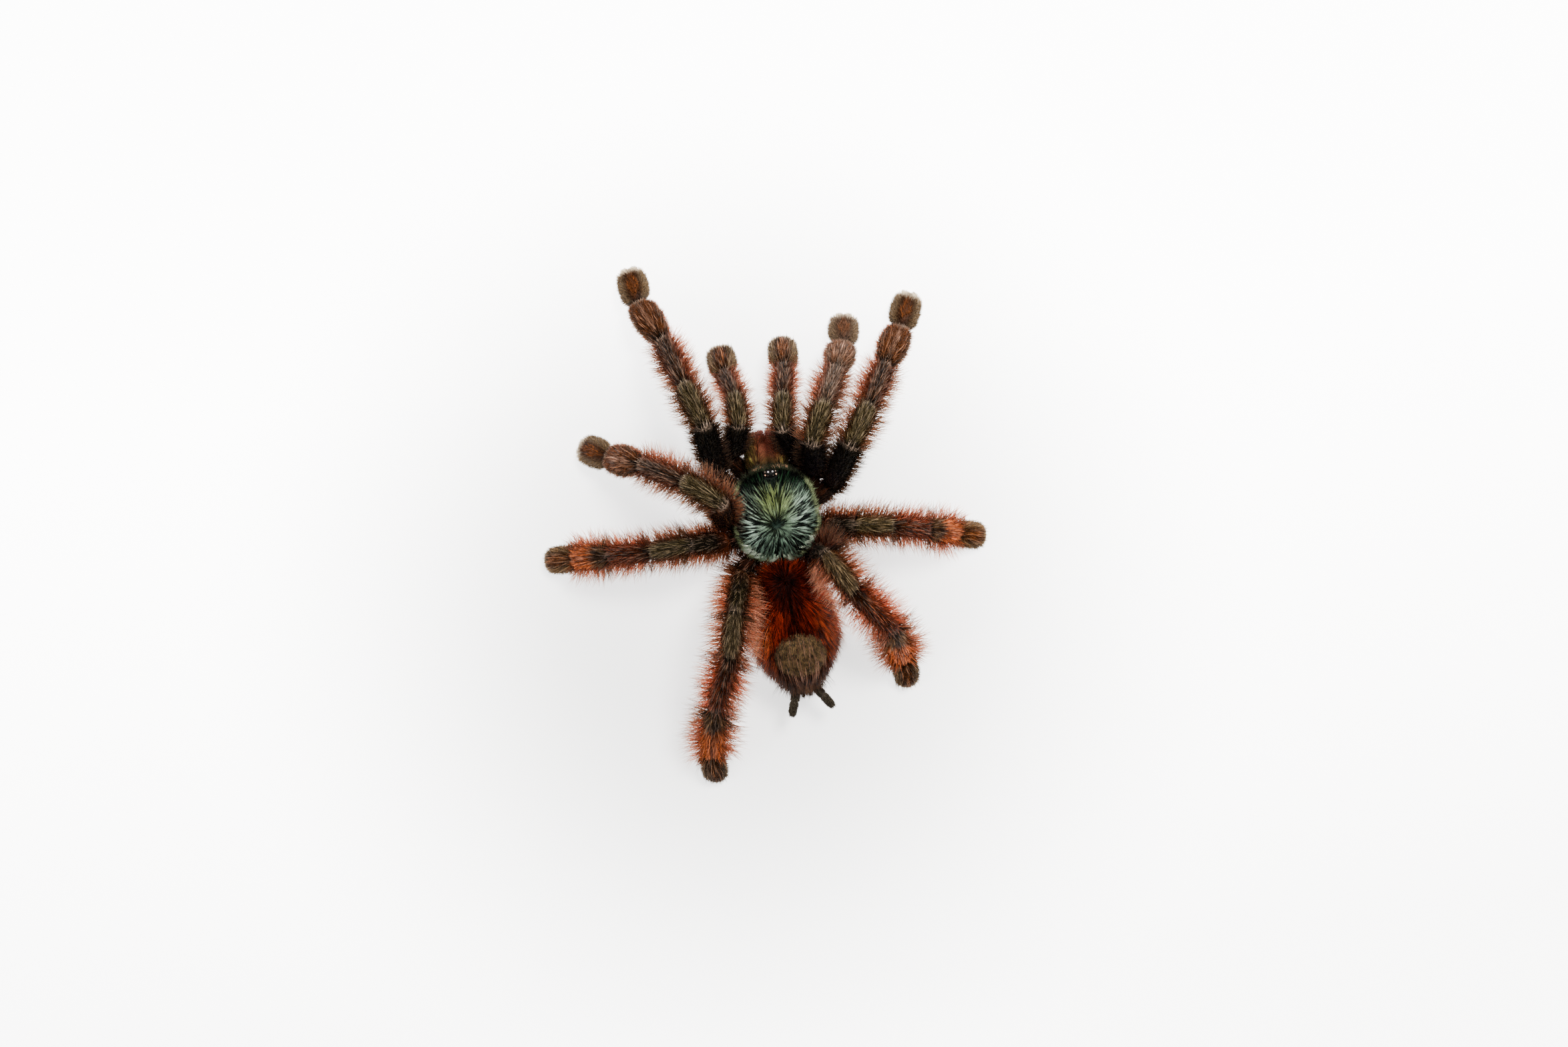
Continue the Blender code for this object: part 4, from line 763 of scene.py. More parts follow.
def limb_brush(limb, dice):
    """Brush of the soles: it shows as a pale rim round the feet, cream and in two lobes at the tip of
    the front ones."""
    length = limb["lengths"][-1]
    ankle = limb["starts"][-2]
    first = ankle - (0.55 * limb["lengths"][-2] if limb["kind"] in ("leg1", "leg2") else 0.0)
    count = int(120 * (limb["end"] - first))
    s = first + (limb["end"] - 0.03 - first) * dice.random(count) ** 0.8
    s[: count // 5] = limb["end"] - TIP_ROUNDING * dice.random(count // 5)
    s = s[np.abs(s - ankle) > 0.7]
    count = len(s)
    angle = np.where(dice.random(count) < 0.5, 1.0, -1.0) * dice.uniform(1.35, 2.5, count)
    point, normal, forward, sideways = limb_surface(limb, s, angle)
    wide = limb_rings(limb, s)[4]
    tip_near = ease(s, limb["end"] - 2.4, limb["end"] - 0.4)
    lobes = np.where(s > limb["end"] - 0.45, 0.3 + 0.7 * ease(np.abs(wide * np.sin(angle)), 0.1, 0.7), 1.0)
    reach = (0.5 + 0.28 * tip_near) * dice.uniform(0.75, 1.1, count) * lobes * (1.0 if limb["front"] else 0.6)
    lie = unit(forward * (0.5 + tip_near)[:, None] - sideways * np.sign(angle)[:, None] * 0.2)
    level = np.array((1.0, 1.0, 0.25))
    outwards = unit(normal * level)
    rim = mix(GREY_BROWN, CREAM, tip_near * (1.0 if limb["front"] else 0.3) * dice.uniform(0.8, 1.0, count))
    rim = rim * dice.uniform(0.75, 1.15, (count, 1))
    return hairs(point, outwards, lie, reach, reach * 0.5, 0.12, rim * 0.7, rim, unwrap(angle, s / limb["end"]), False)


def limb_bristles(limb, dice):
    """Bristles that stand out: fine ones fanned out level from both sides, a few on the back and stout
    spikes between them; a segment's own colour or rust at the root, browner and paler at the tip. The
    solid ones come first: the spikes, most of those on the hips of the hind legs and some on the inner
    side of the last legs. The second set lets the light through."""
    stop = limb["starts"][-2] + 0.25 * limb["lengths"][-1]
    if limb["kind"] in ("leg1", "leg2"):
        stop = limb["starts"][-3] + 0.97 * limb["lengths"][-2]
    count = int(BRISTLES_PER_MM * (stop - 1.0))
    s = dice.uniform(1.0, stop, count)
    angle = np.where(dice.random(count) < 0.5, 1.0, -1.0) * dice.normal(1.6, 0.42, count)
    angle = np.where(dice.random(count) < 0.1, dice.uniform(-np.pi, np.pi, count), angle)
    point, normal, forward, sideways = limb_surface(limb, s, angle)
    i, t, _ = limb_place(limb, s)
    k = limb["kinds"][i]
    front, fourth = limb["front"], limb["kind"] == "leg4"
    short = np.array(FRONT_FRINGE_SHARE if front else HIND_FRINGE_SHARE)[k]
    back = np.clip(np.cos(angle), 0.0, 1.0)
    spike = dice.random(count) < np.where(back > 0.45, 1.0, 0.05)
    length = np.where(spike, dice.uniform(0.5, 0.9, count), dice.uniform(0.25, 1.0, count))
    length = BRISTLE_LENGTH[limb["kind"]] * length * short * (1.0 - 0.5 * back)
    tilt = dice.normal(78.0 if fourth else 66.0, 11.0, count) * (1.0 - 0.5 * back)
    tilt = np.radians(np.clip(tilt, 14.0, 100.0))
    lie = unit(forward + sideways * dice.normal(0.0, 0.15, count)[:, None])
    out = unit(normal * np.array((1.0, 1.0, 0.5)))
    rise, sweep = length * np.sin(tilt), length * np.cos(tilt)
    tip_z = point[:, 2] + out[:, 2] * rise + lie[:, 2] * sweep
    low = np.clip((point[:, 2] - LOWEST_TIP) / np.maximum(point[:, 2] - tip_z, 0.01), 0.1, 1.0)
    high = np.clip((TOP_OF_COAT - point[:, 2]) / np.maximum(tip_z - point[:, 2], 0.01), 0.1, 1.0)
    cut = np.where(tip_z < LOWEST_TIP, low, np.where(tip_z > TOP_OF_COAT, high, 1.0))
    root = limb_colour(limb, s, angle)
    plain_thigh = front and limb["name"] != "leg2_left"
    flank = ease(np.abs(np.sin(angle)), 0.3, 0.9) * (k >= (PATELLA if plain_thigh else FEMUR))
    flank = flank * (1.0 if front else ease(t, 0.1, 0.3))
    rusty = flank * np.where((k >= TIBIA) | fourth, 1.0, 0.5) * 0.75
    rusty = rusty * (1.0 - 0.4 * (k > TIBIA) * fourth)
    if limb["kind"] in ("leg1", "leg2"):
        rusty = rusty * np.where(np.sin(angle) < 0.0, 1.0, 0.35)
    dark = mix(root, mix(srgb(84, 44, 24), srgb(148, 78, 48), dice.random(count)), rusty)
    dark = dark * dice.uniform(0.3, 0.9, (count, 1))
    shade = np.where(dice.random(count) < (0.12 if fourth else 0.22), 0.35, dice.uniform(0.65, 1.1, count))[:, None]
    light = mix(srgb(156, 106, 76), srgb(208, 120, 84), rusty / 0.75) * shade
    light = light * (1.4 if fourth else 0.85 if front else 1.08)
    light = mix(light, srgb(222, 160, 126) * shade, 0.75 * fourth * (k <= PATELLA))
    tip = mix(srgb(196, 156, 124), srgb(252, 186, 144), rusty / 0.75) * np.clip(shade, 0.55, 1.0)
    first = np.where(spike[:, None], dark * 0.7, mix(root * 1.5, light, 0.3 + 0.7 * flank))
    last = np.where(spike[:, None], dark, mix(first, tip, 0.4 + 0.6 * flank))
    hip = (k == COXA) & (not front)
    lit = ((fourth & (out[:, 0] * point[:, 0] < 0.0)) | hip) & (dice.random(count) < 0.3 + 0.4 * hip) & ~spike
    pale = mix(srgb(112, 50, 30), srgb(196, 118, 88), dice.random(count)) * np.where(hip, 0.45, 1.0)[:, None]
    first = np.where(lit[:, None], pale, first)
    last = np.where(lit[:, None], mix(first, srgb(226, 166, 138), 0.6), last)
    if limb["name"] == "leg4_right":
        over = (out[:, 1] > -0.3) & ((k <= FEMUR) | ((k == PATELLA) & (t < 0.15)))
        first, last = first * (1.0 - 0.6 * over)[:, None], last * (1.0 - 0.6 * over)[:, None]
    width = np.where(spike, 0.15, dice.uniform(0.1, 0.14, count))
    solid = spike | lit
    rows = [point, out, lie, rise * cut, sweep * cut, width, first, last, unwrap(angle, s / limb["end"])]
    return [hairs(*chosen(keep, *rows), True, (sideways * dice.normal(0.0, bend, (count, 1)))[keep])
            for keep, bend in ((solid, 0.18), (~solid, 0.1))]


bristle = coat_material("bristle", 0.38, 900.0)
fine_bristle = coat_material("fine_bristle", 0.5, 900.0, Transmission_Weight=0.88, IOR=1.15)
for number, limb in enumerate(LIMBS):
    dice = np.random.default_rng(100 + number)
    solid, fine = limb_bristles(limb, dice)
    parts = [limb_velvet(limb, dice), limb_combed(limb, dice), limb_brush(limb, dice), solid]
    coat = make_object(f"coat_{limb['name']}", parts, bristle)
    fringe = make_object(f"fringe_{limb['name']}", [fine], fine_bristle)

# Carapace, coat. Metallic green bristles in flat wet-looking wisps that radiate from the fovea, with a
# painted mint highlight on the flanks, olive in front of the fovea, nearly black round the eyes, bronze
# along the rim, and darkened round the fovea as painted shade in the pit.
WISPS = 1000
HAIRS_PER_WISP = 9


def carapace_frame(angle, share):
    """Point, normal and outward tangent of the shield, by small steps outwards and round."""
    point = carapace_point(angle, share)
    out = carapace_point(angle, share + 0.02) - carapace_point(angle, share - 0.02)
    around = carapace_point(angle + 0.03, share) - carapace_point(angle - 0.03, share)
    normal = unit(np.cross(around, out))
    normal = normal * np.sign(normal[:, 2:])
    away = unit(point * (1.0, 1.0, 0.0))
    lie = unit(without(away, normal))
    return point - normal * SKIN_INSET, normal, lie


def level_turn(lie):
    """The directions turned level by 90 degrees to the left, (-y, x, 0)."""
    return np.stack((-lie[:, 1], lie[:, 0], np.zeros(len(lie))), -1)


def off_the_eyes(point, lie, length):
    """Share of a bristle's length that keeps it off the eye mound: 1, 0.3 where its middle or tip would
    lie on the mound, and 0 where its root would."""
    size = np.array((1.5, 1.25))
    reach = [np.linalg.norm((point + lie * (length * share)[:, None] - EYE_MOUND)[:, :2] / size, axis=1)
             for share in (0.0, 0.5, 1.0)]
    return np.where(reach[0] < 0.95, 0.0, np.where(np.minimum(reach[1], reach[2]) < 1.0, 0.3, 1.0))


def carapace_hair_colour(point, light):
    """Wisp colours by place and by a lightness of 0 to 1: dark green to mint, paler mint on the flanks as
    a painted highlight, olive in front of the fovea, black-green on the face, rubbed brown at the left rim,
    and darkened round the fovea as painted shade in the pit."""
    x, y = point[:, 0], point[:, 1]
    # Painted highlight: paler mint on the flanks, a tenth stronger on the left.
    flank = np.exp(-(((np.abs(x) - 3.9) / 1.9) ** 2) - ((y - 1.4) / 3.4) ** 2)
    bright = mix(srgb(130, 158, 136), srgb(206, 232, 210), flank * np.where(x < 0.0, 1.0, 0.9))
    colour = mix(srgb(10, 16, 12), bright, ease(light, 0.1, 1.0))
    front = np.exp(-((x / 2.3) ** 2) - ((y - 3.8) / 3.0) ** 2)
    colour = mix(colour, mix(srgb(18, 22, 10), srgb(150, 164, 98), light), np.clip(1.1 * front, 0.0, 0.95))
    edge = ease(np.hypot(x / 7.6, (y - 1.6) / 7.6), 0.84, 0.98)
    colour = mix(colour, mix(srgb(34, 34, 20), srgb(132, 138, 92), light), 0.75 * edge)
    face = ease(y + 0.25 * np.abs(x), 6.0, 8.2)
    colour = mix(colour, mix(srgb(5, 7, 5), srgb(44, 76, 50), light**3), face)
    worn = np.exp(-(((x + 6.3) / 1.1) ** 2) - ((y - 1.5) / 2.4) ** 2)
    colour = mix(colour, mix(srgb(40, 24, 16), srgb(134, 92, 72), light), 0.8 * worn)
    # Painted shade in the fovea: bristles rooted within about a millimetre of it are darkened down to 0.15.
    return colour * (0.15 + 0.85 * ease(np.hypot(x / 1.6, y + 0.1), 0.2, 0.7))[:, None]


def off_the_pit(point):
    """False where a root would stand in the fovea, a slit 1.4 mm wide and 0.8 mm long."""
    return np.linalg.norm(point[:, :2] / (0.7, 0.4), axis=1) > 1.0


dice = np.random.default_rng(200)
wisp_angle = dice.uniform(-np.pi, np.pi, WISPS)
wisp_share = 0.06 + 0.9 * dice.random(WISPS) ** 0.6
wisp_point, _, _ = carapace_frame(wisp_angle, wisp_share)
wisp_light = np.where(dice.random(WISPS) < 0.4, dice.uniform(0.0, 0.2, WISPS), dice.uniform(0.55, 1.0, WISPS))
wisp_length = dice.uniform(1.5, 3.0, WISPS) * (1.0 - 0.4 * ease(wisp_point[:, 1], 5.5, 9.0))
wisp_length = wisp_length * (1.0 - 0.5 * ease(wisp_share, 0.72, 0.92))
wisp_bend = 0.4 * np.sin(3.0 * wisp_angle + 5.0 * wisp_share) + dice.normal(0.0, 0.16, WISPS)
wisp_curl = -0.5 * wisp_bend + dice.normal(0.0, 0.12, WISPS)
wisp = np.repeat(np.arange(WISPS), HAIRS_PER_WISP)
count = len(wisp)
reach = np.maximum(np.linalg.norm(wisp_point[wisp, :2], axis=1), 0.7)
angle = wisp_angle[wisp] + dice.normal(0.0, 0.05, count) / reach
share = np.clip(wisp_share[wisp] + dice.normal(0.0, 0.03, count), 0.05, 0.985)
point, normal, lie = carapace_frame(angle, share)
sway = level_turn(lie)
lie = unit(lie + sway * wisp_bend[wisp, None])
length = wisp_length[wisp] * dice.uniform(0.8, 1.1, count)
sideways = without(without(wisp_point[wisp] - point, lie), normal)
pull = 0.9 * sideways + sway * (wisp_curl[wisp] * length)[:, None]
keep = off_the_eyes(point, lie, length) * off_the_pit(point)
colour = carapace_hair_colour(point, np.clip(wisp_light[wisp] + dice.normal(0.0, 0.16, count), 0.0, 1.0))
rows = (point, normal, lie, length * keep * 0.2, length * keep * 0.97, np.full(count, 0.11), colour * 0.6,
        colour * 1.35, flat_uv(point))
carapace_parts = [hairs(*(row[keep > 0] for row in rows), True, pull[keep > 0])]

count = 9500
angle = dice.uniform(-np.pi, np.pi, count)
share = 0.05 + 0.94 * np.sqrt(dice.random(count))
point, normal, lie = carapace_frame(angle, share)
length = dice.uniform(0.6, 1.0, count)
keep = off_the_eyes(point, lie, length) * off_the_pit(point)
colour = carapace_hair_colour(point, dice.uniform(0.0, 0.22, count))
rows = (point, normal, lie, 0.2 * keep, length * keep, np.full(count, 0.11), colour * 0.6, colour, flat_uv(point))
carapace_parts.append(hairs(*(row[keep > 0] for row in rows), False))

count = 2600
angle = dice.uniform(-np.pi, np.pi, count)
point, normal, lie = carapace_frame(angle, dice.uniform(0.95, 0.995, count))
sway = level_turn(lie)
lie = unit(lie + sway * dice.normal(0.8, 0.6, count)[:, None] * np.sign(point[:, :1]))
head = ease(point[:, 1], 7.0, 9.0)
colour = mix(srgb(70, 76, 44), srgb(178, 192, 146), dice.random(count) ** 1.5)
colour = mix(colour, srgb(22, 24, 16), 0.9 * head)
length = dice.uniform(0.8, 2.1, count)
carapace_parts.append(hairs(point, normal, lie, length * 0.3, length * 0.9, 0.12, colour * 0.6, colour * 1.1,
                            flat_uv(point), True))

count = 600
angle = dice.uniform(-0.36, 0.36, count)
point, normal, lie = carapace_frame(angle, dice.uniform(0.985, 0.998, count))
colour = mix(srgb(112, 70, 50), srgb(214, 172, 138), dice.random(count))
colour = colour * (0.35 + 0.65 * ease(np.abs(point[:, :1]), 0.0, 0.7))
carapace_parts.append(hairs(point, normal, lie, 0.4, dice.uniform(0.4, 0.8, count), 0.15, colour * 0.8, colour,
                            flat_uv(point), False))

wisp_x = dice.uniform(-5.0, 5.0, 64)
wisp = np.repeat(np.arange(64), 11)
count = len(wisp)
wisp_angle = np.arctan2(wisp_x, -3.9 - 0.9 * dice.random(64))
angle = wisp_angle[wisp] + dice.normal(0.0, 0.02, count)
share = dice.uniform(0.82, 0.97, 64)[wisp] + dice.normal(0.0, 0.015, count)
point, normal, lie = carapace_frame(angle, share)
sway = level_turn(lie)
lie = unit(lie * 0.6 + sway * np.sign(point[:, :1]) * dice.uniform(0.5, 1.6, 64)[wisp, None])
colour = mix(srgb(124, 150, 122), srgb(222, 232, 208), dice.random(64)[wisp])
length = dice.uniform(1.5, 2.6, 64)[wisp] * dice.uniform(0.85, 1.1, count)
carapace_parts.append(hairs(point, normal, lie, length * 0.42, length * 0.85, 0.14, colour * 0.5, colour,
                            flat_uv(point), True))
green_bristle = coat_material("green_bristle", 0.28, 700.0, Metallic=0.3)
carapace_coat = make_object("coat_carapace", carapace_parts, green_bristle)

# Chelicerae, coat. Short bristles combed forwards over the jaws, with painted olive glints on clumps
# along the sides, and a rusty crest that closes over the gap between them.
dice = np.random.default_rng(300)
chelicera_parts = []
forward_down = np.array((0.0, math.cos(CHELICERA_DROOP), -math.sin(CHELICERA_DROOP)))
for side in (-1, 1):
    clump = dice.integers(0, 700, 7000)
    count = len(clump)
    share = np.clip(dice.uniform(0.0, 1.0, 700)[clump] + dice.normal(0.0, 0.02, count), 0.0, 1.02)
    angle = dice.uniform(-np.pi, np.pi, 700)[clump] + dice.normal(0.0, 0.05, count)
    light = np.where(dice.random(700) < 0.45, dice.uniform(0.15, 0.5, 700), dice.uniform(0.8, 1.5, 700))[clump]
    light = light * dice.uniform(0.6, 1.6, count)
    point, normal = chelicera_surface(side, share, angle)
    lie = unit(forward_down + dice.normal(0.0, 0.14, (700, 3))[clump] + dice.normal(0.0, 0.04, (count, 3)))
    lie = unit(without(lie, normal))
    colour = chelicera_colour(point)
    off = np.abs(point[:, 0] - CHELICERA_PAIR_X)
    # Painted glint: a fifth of the clumps on the sides of the jaws are tinted olive.
    glint = (dice.random(700) < 0.2)[clump] * ease(off, 1.6, 3.0)
    colour = mix(colour, srgb(140, 130, 66), 0.6 * glint) * light[:, None]
    length = dice.uniform(0.9, 1.6, count)
    uv = unwrap(angle, share * 0.45 + (0.5 if side > 0 else 0.02))
    chelicera_parts.append(hairs(point, normal, lie, length * 0.3, length, 0.12, colour * 0.6, colour * 1.25,
                                 uv, False))
    count = 1500
    share = dice.uniform(0.02, 1.0, count)
    angle = -side * dice.uniform(0.1, 1.25, count)
    point, normal = chelicera_surface(side, share, angle)
    lie = unit(forward_down - normal * (normal @ forward_down)[:, None])
    middle = np.maximum(np.exp(-(((point[:, 0] - CHELICERA_PAIR_X) / 1.3) ** 2)), ease(share, 0.7, 0.9))
    colour = mix(srgb(96, 40, 30), srgb(224, 134, 114), dice.random(count) ** 1.1)
    colour = mix(chelicera_colour(point), colour, middle * ease(share, 0.0, 0.4)) * dice.uniform(0.4, 1.2, (count, 1))
    length = dice.uniform(1.3, 2.1, count)
    pull = np.zeros((count, 3))
    pull[:, 0] = (CHELICERA_PAIR_X - point[:, 0]) * dice.uniform(0.55, 1.0, count)
    uv = unwrap(angle, share * 0.45 + (0.5 if side > 0 else 0.02))
    chelicera_parts.append(hairs(point, normal, lie, length * 0.38, length * 0.9, 0.12, colour * 0.5, colour * 1.2,
                                 uv, True, pull))
chelicera_coat = make_object("coat_chelicerae", chelicera_parts, bristle)
brow = []
for side in (-1, 1):
    count = 220
    share, angle = dice.uniform(0.8, 1.0, count), dice.uniform(-1.5, 1.5, count)
    point, normal = chelicera_surface(side, share, angle)
    lie = unit(np.array((0.0, 1.0, 0.1)) + dice.normal(0.0, 0.16, (count, 3)))
    length = dice.uniform(0.8, 2.3, count)
    colour = srgb(196, 112, 92) * dice.uniform(0.5, 1.1, (count, 1))
    tip = srgb(234, 176, 156) * dice.uniform(0.6, 1.0, (count, 1))
    uv = unwrap(angle, share * 0.45 + (0.5 if side > 0 else 0.02))
    brow.append(hairs(point, normal, lie, length * 0.2, length, 0.1, colour, tip, uv, True))
brow = make_object("fringe_chelicerae", brow, fine_bristle)

# Abdomen, coat. Long soft bristles in loose strands that sweep back and outwards over the sac, dark
# at the root and orange-red at the tip, and round the oval patch of olive velvet. Painted light makes
# the strands of the left flank, away from the key lamp, brighter and those of the right flank darker.
SWEEP_SOURCE = np.array((0.2, -8.9, 12.0))
STRANDS = 5000
HAIRS_PER_STRAND = 6


def abdomen_lie(point, normal, backward):
    """Away from a point over the front of the sac, turning to straight back towards the rear."""
    away = unit(point - SWEEP_SOURCE)
    lie = mix(away, backward, ease(-point[:, 1], 12.0, 24.0) * 0.75)
    return unit(without(lie, normal))


def random_abdomen(count, dice):
    """Even scatter over the sac: shares are drawn so that narrow ends get fewer roots."""
    share, angle = dice.uniform(0.0, 0.995, 3 * count), dice.uniform(-np.pi, np.pi, 3 * count)
    _, _, wide, _ = abdomen_rings(share)
    keep = dice.random(3 * count) < wide / ABDOMEN_HALF_WIDTH
    return share[keep][:count], angle[keep][:count]


dice = np.random.default_rng(400)
strand_share, strand_angle = random_abdomen(STRANDS, dice)
strand_point, _, _ = abdomen_surface(strand_share, strand_angle)
strand = np.repeat(np.arange(STRANDS), HAIRS_PER_STRAND)
count = len(strand)
share = np.clip(strand_share[strand] + dice.normal(0.0, 0.012, count), 0.0, 0.995)
angle = strand_angle[strand] + dice.normal(0.0, 0.012, count)
point, normal, backward = abdomen_surface(share, angle)
lie = abdomen_lie(point, normal, backward)
lie = unit(lie + dice.normal(0.0, 0.11, (STRANDS, 3))[strand] + dice.normal(0.0, 0.05, (count, 3)))
lie = unit(without(lie, normal))
sideways = without(strand_point[strand] - point, lie)
flank = ease(np.abs(np.sin(angle)), 0.45, 0.95)
length = dice.uniform(2.2, 3.8, STRANDS)[strand] * dice.uniform(0.8, 1.1, count)
front = np.exp(-((share / 0.09) ** 2))
shoulder = ease(share, 0.02, 0.1) * (1.0 - ease(share, 0.25, 0.45)) * flank
tilt = dice.normal(15.0, 4.0, STRANDS)[strand] + dice.normal(0.0, 2.0, count) + 12.0 * flank + 22.0 * front
tilt = tilt + 16.0 * shoulder + 20.0 * ease(share, 0.5, 0.65) * flank * np.where(np.sin(angle) < 0.0, 1.0, 0.3)
tilt = np.radians(np.clip(tilt, 8.0, 65.0))
light = np.where(dice.random(STRANDS) < 0.42, dice.uniform(0.0, 0.1, STRANDS), dice.uniform(0.4, 1.0, STRANDS))
light = light[strand]
off = np.abs(point[:, 0] - (ABDOMEN_FRONT_Y - point[:, 1]) * math.tan(ABDOMEN_TURN))
# Painted light: strands on the left flank, away from the key lamp, are brightened up to 2.9 times, most at the front
# and on the outer side, and dimmed again towards the rear; on the right, the lamp's side, they are dimmed to 0.62
# towards the rear. Their tips are paler on the flanks in step with this.
left = np.sin(angle) < 0.0
before = 1.0 - ease(share, 0.2, 0.4)
light = light * np.where(left, 1.0 + 1.9 * np.maximum(ease(off, 2.8, 5.2) * (1.0 - 0.3 * ease(share, 0.3, 0.6)),
                                                      flank * before), 0.62 + 0.45 * before)
light = light * (0.75 + 0.25 * ease(off, 1.2, 4.2)) * (1.0 - 0.62 * flank * ease(share, 0.55, 0.72))
light = np.minimum(light, 2.2) * (1.0 - 0.6 * left * ease(share, 0.48, 0.64))
colour = abdomen_colour(point) * (0.05 + 1.9 * light[:, None]) * dice.uniform(0.3, 1.7, (count, 1))
tip = mix(colour * 1.5, srgb(216, 132, 88), 0.3 * flank * light)
tip = mix(tip, srgb(158, 112, 86), 0.7 * ease(share, 0.72, 0.92) * light)
bare = patch_share(point) > 0.5
length = np.where(patch_share(point + lie * 2.4) > 0.5, length * 0.45, length)
keep = ~bare
rows = (point, normal, lie, length * np.sin(tilt), length * np.cos(tilt), np.full(count, 0.13), colour * 0.4, tip,
        unwrap(angle, share))
strands = hairs(*(row[keep] for row in rows), False, (sideways * 0.8)[keep])

share, angle = random_abdomen(1900, dice)
angle = np.where(dice.random(len(angle)) < 0.5, 1.0, -1.0) * dice.normal(1.74, 0.2, len(angle))
point, normal, backward = abdomen_surface(share, angle)
count = len(point)
lie = abdomen_lie(point, normal, backward)
length = dice.uniform(2.4, 5.0, count) * (1.0 - np.where(angle < 0.0, 0.2, 0.4) * ease(share, 0.55, 0.85))
tilt = np.radians(dice.uniform(36.0, 60.0, count))
root = mix(abdomen_colour(point), srgb(186, 88, 52), 0.7) * dice.uniform(0.4, 1.2, (count, 1))
root = root * (1.0 - 0.75 * ease(share, 0.5, 0.68))[:, None]
tip = mix(root, srgb(250, 188, 150), dice.uniform(0.3, 1.0, count) * (1.0 - 0.5 * ease(share, 0.5, 0.68)))
fringe = make_object("fringe_abdomen", [hairs(
    point, normal, lie, length * np.sin(tilt), length * np.cos(tilt), 0.14, root, tip, unwrap(angle, share), True
)], fine_bristle)

count = 1500
angle = dice.uniform(-np.pi, np.pi, count)
y = dice.uniform(-7.8, -4.6, count)
normal = np.stack((np.sin(angle), np.full(count, -0.2), np.cos(angle)), -1)
point = np.stack((np.sin(angle), y, 5.2 + np.cos(angle)), -1) * (0.95, 1.0, 1.0)
lie = unit(np.array((0.0, 1.0, 0.0)) * dice.choice((-1.0, 1.0), (count, 1)) + dice.normal(0.0, 0.2, (count, 3)))
colour = mix(srgb(70, 14, 8), srgb(178, 74, 48), dice.random(count) ** 1.4) * dice.uniform(0.4, 1.1, (count, 1))
length = dice.uniform(1.2, 3.8, count)
collar = hairs(point, normal, lie, length * 0.85, length * 0.4, 0.16, colour * 0.5, colour,
               unwrap(angle, y * 0.01 + 0.07), False)

rear, rear_across, _, _ = abdomen_rings(np.array((0.95,)))
count = 700
x = dice.normal(0.0, 1.5, count)
point = rear + rear_across * x[:, None] + np.stack((0 * x, 0 * x, dice.uniform(-0.5, 1.2, count) - 0.12 * x * x), -1)
heading = ABDOMEN_TURN + 0.16 * x + dice.normal(0.0, 0.14, count)
lie = np.stack((np.sin(heading), -np.cos(heading), np.full(count, -0.15)), -1)
colour = mix(srgb(40, 26, 17), srgb(144, 106, 78), dice.random(count) ** 1.4)
length = dice.uniform(2.2, 3.8, count)
tail = hairs(point, np.broadcast_to((0.0, 0.0, 1.0), point.shape), unit(lie), length * 0.1, length, 0.12, colour * 0.4,
             colour, np.stack((x / 42.0 + 0.5, np.full(count, 0.95)), -1), True)
abdomen_coat = make_object(
    "coat_abdomen", [strands, collar, tail], coat_material("red_bristle", 0.36, 800.0)
)

dice = np.random.default_rng(401)
share, angle = random_abdomen(16000, dice)
point, normal, backward = abdomen_surface(share, angle)
inside = patch_share(point) > 0.5
lie = abdomen_lie(point, normal, backward)
count = len(point)
under = abdomen_colour(point) * dice.uniform(0.1, 0.45, (count, 1))
mottle = np.random.default_rng(6).random((32, 32))


def patch_colour(point, spread):
    """Grey-olive velvet in blotches of half a millimetre."""
    blotch = mottle[(point[:, 0] / 0.5).astype(int) % 32, (-point[:, 1] / 0.5).astype(int) % 32]
    return mix(srgb(14, 10, 6), srgb(146, 116, 80), 0.5 * blotch + 0.5 * spread**1.6)


colour = np.where(inside[:, None], patch_colour(point, dice.random(count)), under)
rise = np.where(inside, dice.uniform(0.35, 0.55, count), dice.uniform(0.2, 0.4, count))
sweep = np.where(inside, 0.35, 1.1)
velvet = hairs(point, normal, lie, rise, sweep, 0.13, colour * 0.7, colour * 1.1, unwrap(angle, share), False)

share, angle = random_abdomen(34000, dice)
point, normal, backward = abdomen_surface(share, angle)
inside = patch_share(point) > 0.5
share, angle, point, normal, backward = (row[inside] for row in (share, angle, point, normal, backward))
lie = abdomen_lie(point, normal, backward)
count = len(point)
olive = patch_colour(point, dice.random(count))
fine = hairs(point, normal, lie, dice.uniform(0.3, 0.5, count), 0.3, 0.12, olive * 0.7, olive * 1.1,
             unwrap(angle, share), False)

keep = dice.random(count) < 0.022
count = int(keep.sum())
length = dice.uniform(2.2, 4.2, count)
strand = mix(srgb(92, 60, 46), srgb(190, 142, 116), dice.random(count))
over = hairs(point[keep], normal[keep], lie[keep], length * 0.28, length * 0.95, 0.1, strand * 0.4, strand * 1.1,
             unwrap(angle[keep], share[keep]), True)
patch_coat = make_object("coat_abdomen_velvet", [velvet, fine, over], bristle)

# Sternum, coat. Dark short bristles, combed back over the plate of cuticle that lies between the
# roots of the legs, and rooted in it.
dice = np.random.default_rng(500)
count = 3500
angle = dice.uniform(-np.pi, np.pi, count)
drop = np.arccos(dice.uniform(-1.0, 0.2, count))
shape = np.stack((np.sin(drop) * np.sin(angle), np.sin(drop) * np.cos(angle), np.cos(drop)), -1)
point = STERNUM_MIDDLE + shape * STERNUM_HALF_SIZE
normal = unit(shape / STERNUM_HALF_SIZE)
back = np.array((0.0, -1.0, 0.0))
lie = unit(back - normal * (normal @ back)[:, None])
colour = mix(BLACK_BROWN, BROWN, dice.random(count) * 0.6)
sternum_coat = make_object(
    "coat_sternum", [hairs(point, normal, lie, 0.3, 1.0, 0.12, colour, colour * 1.3, shape[:, :2] * 0.45 + 0.5, False)],
    bristle)

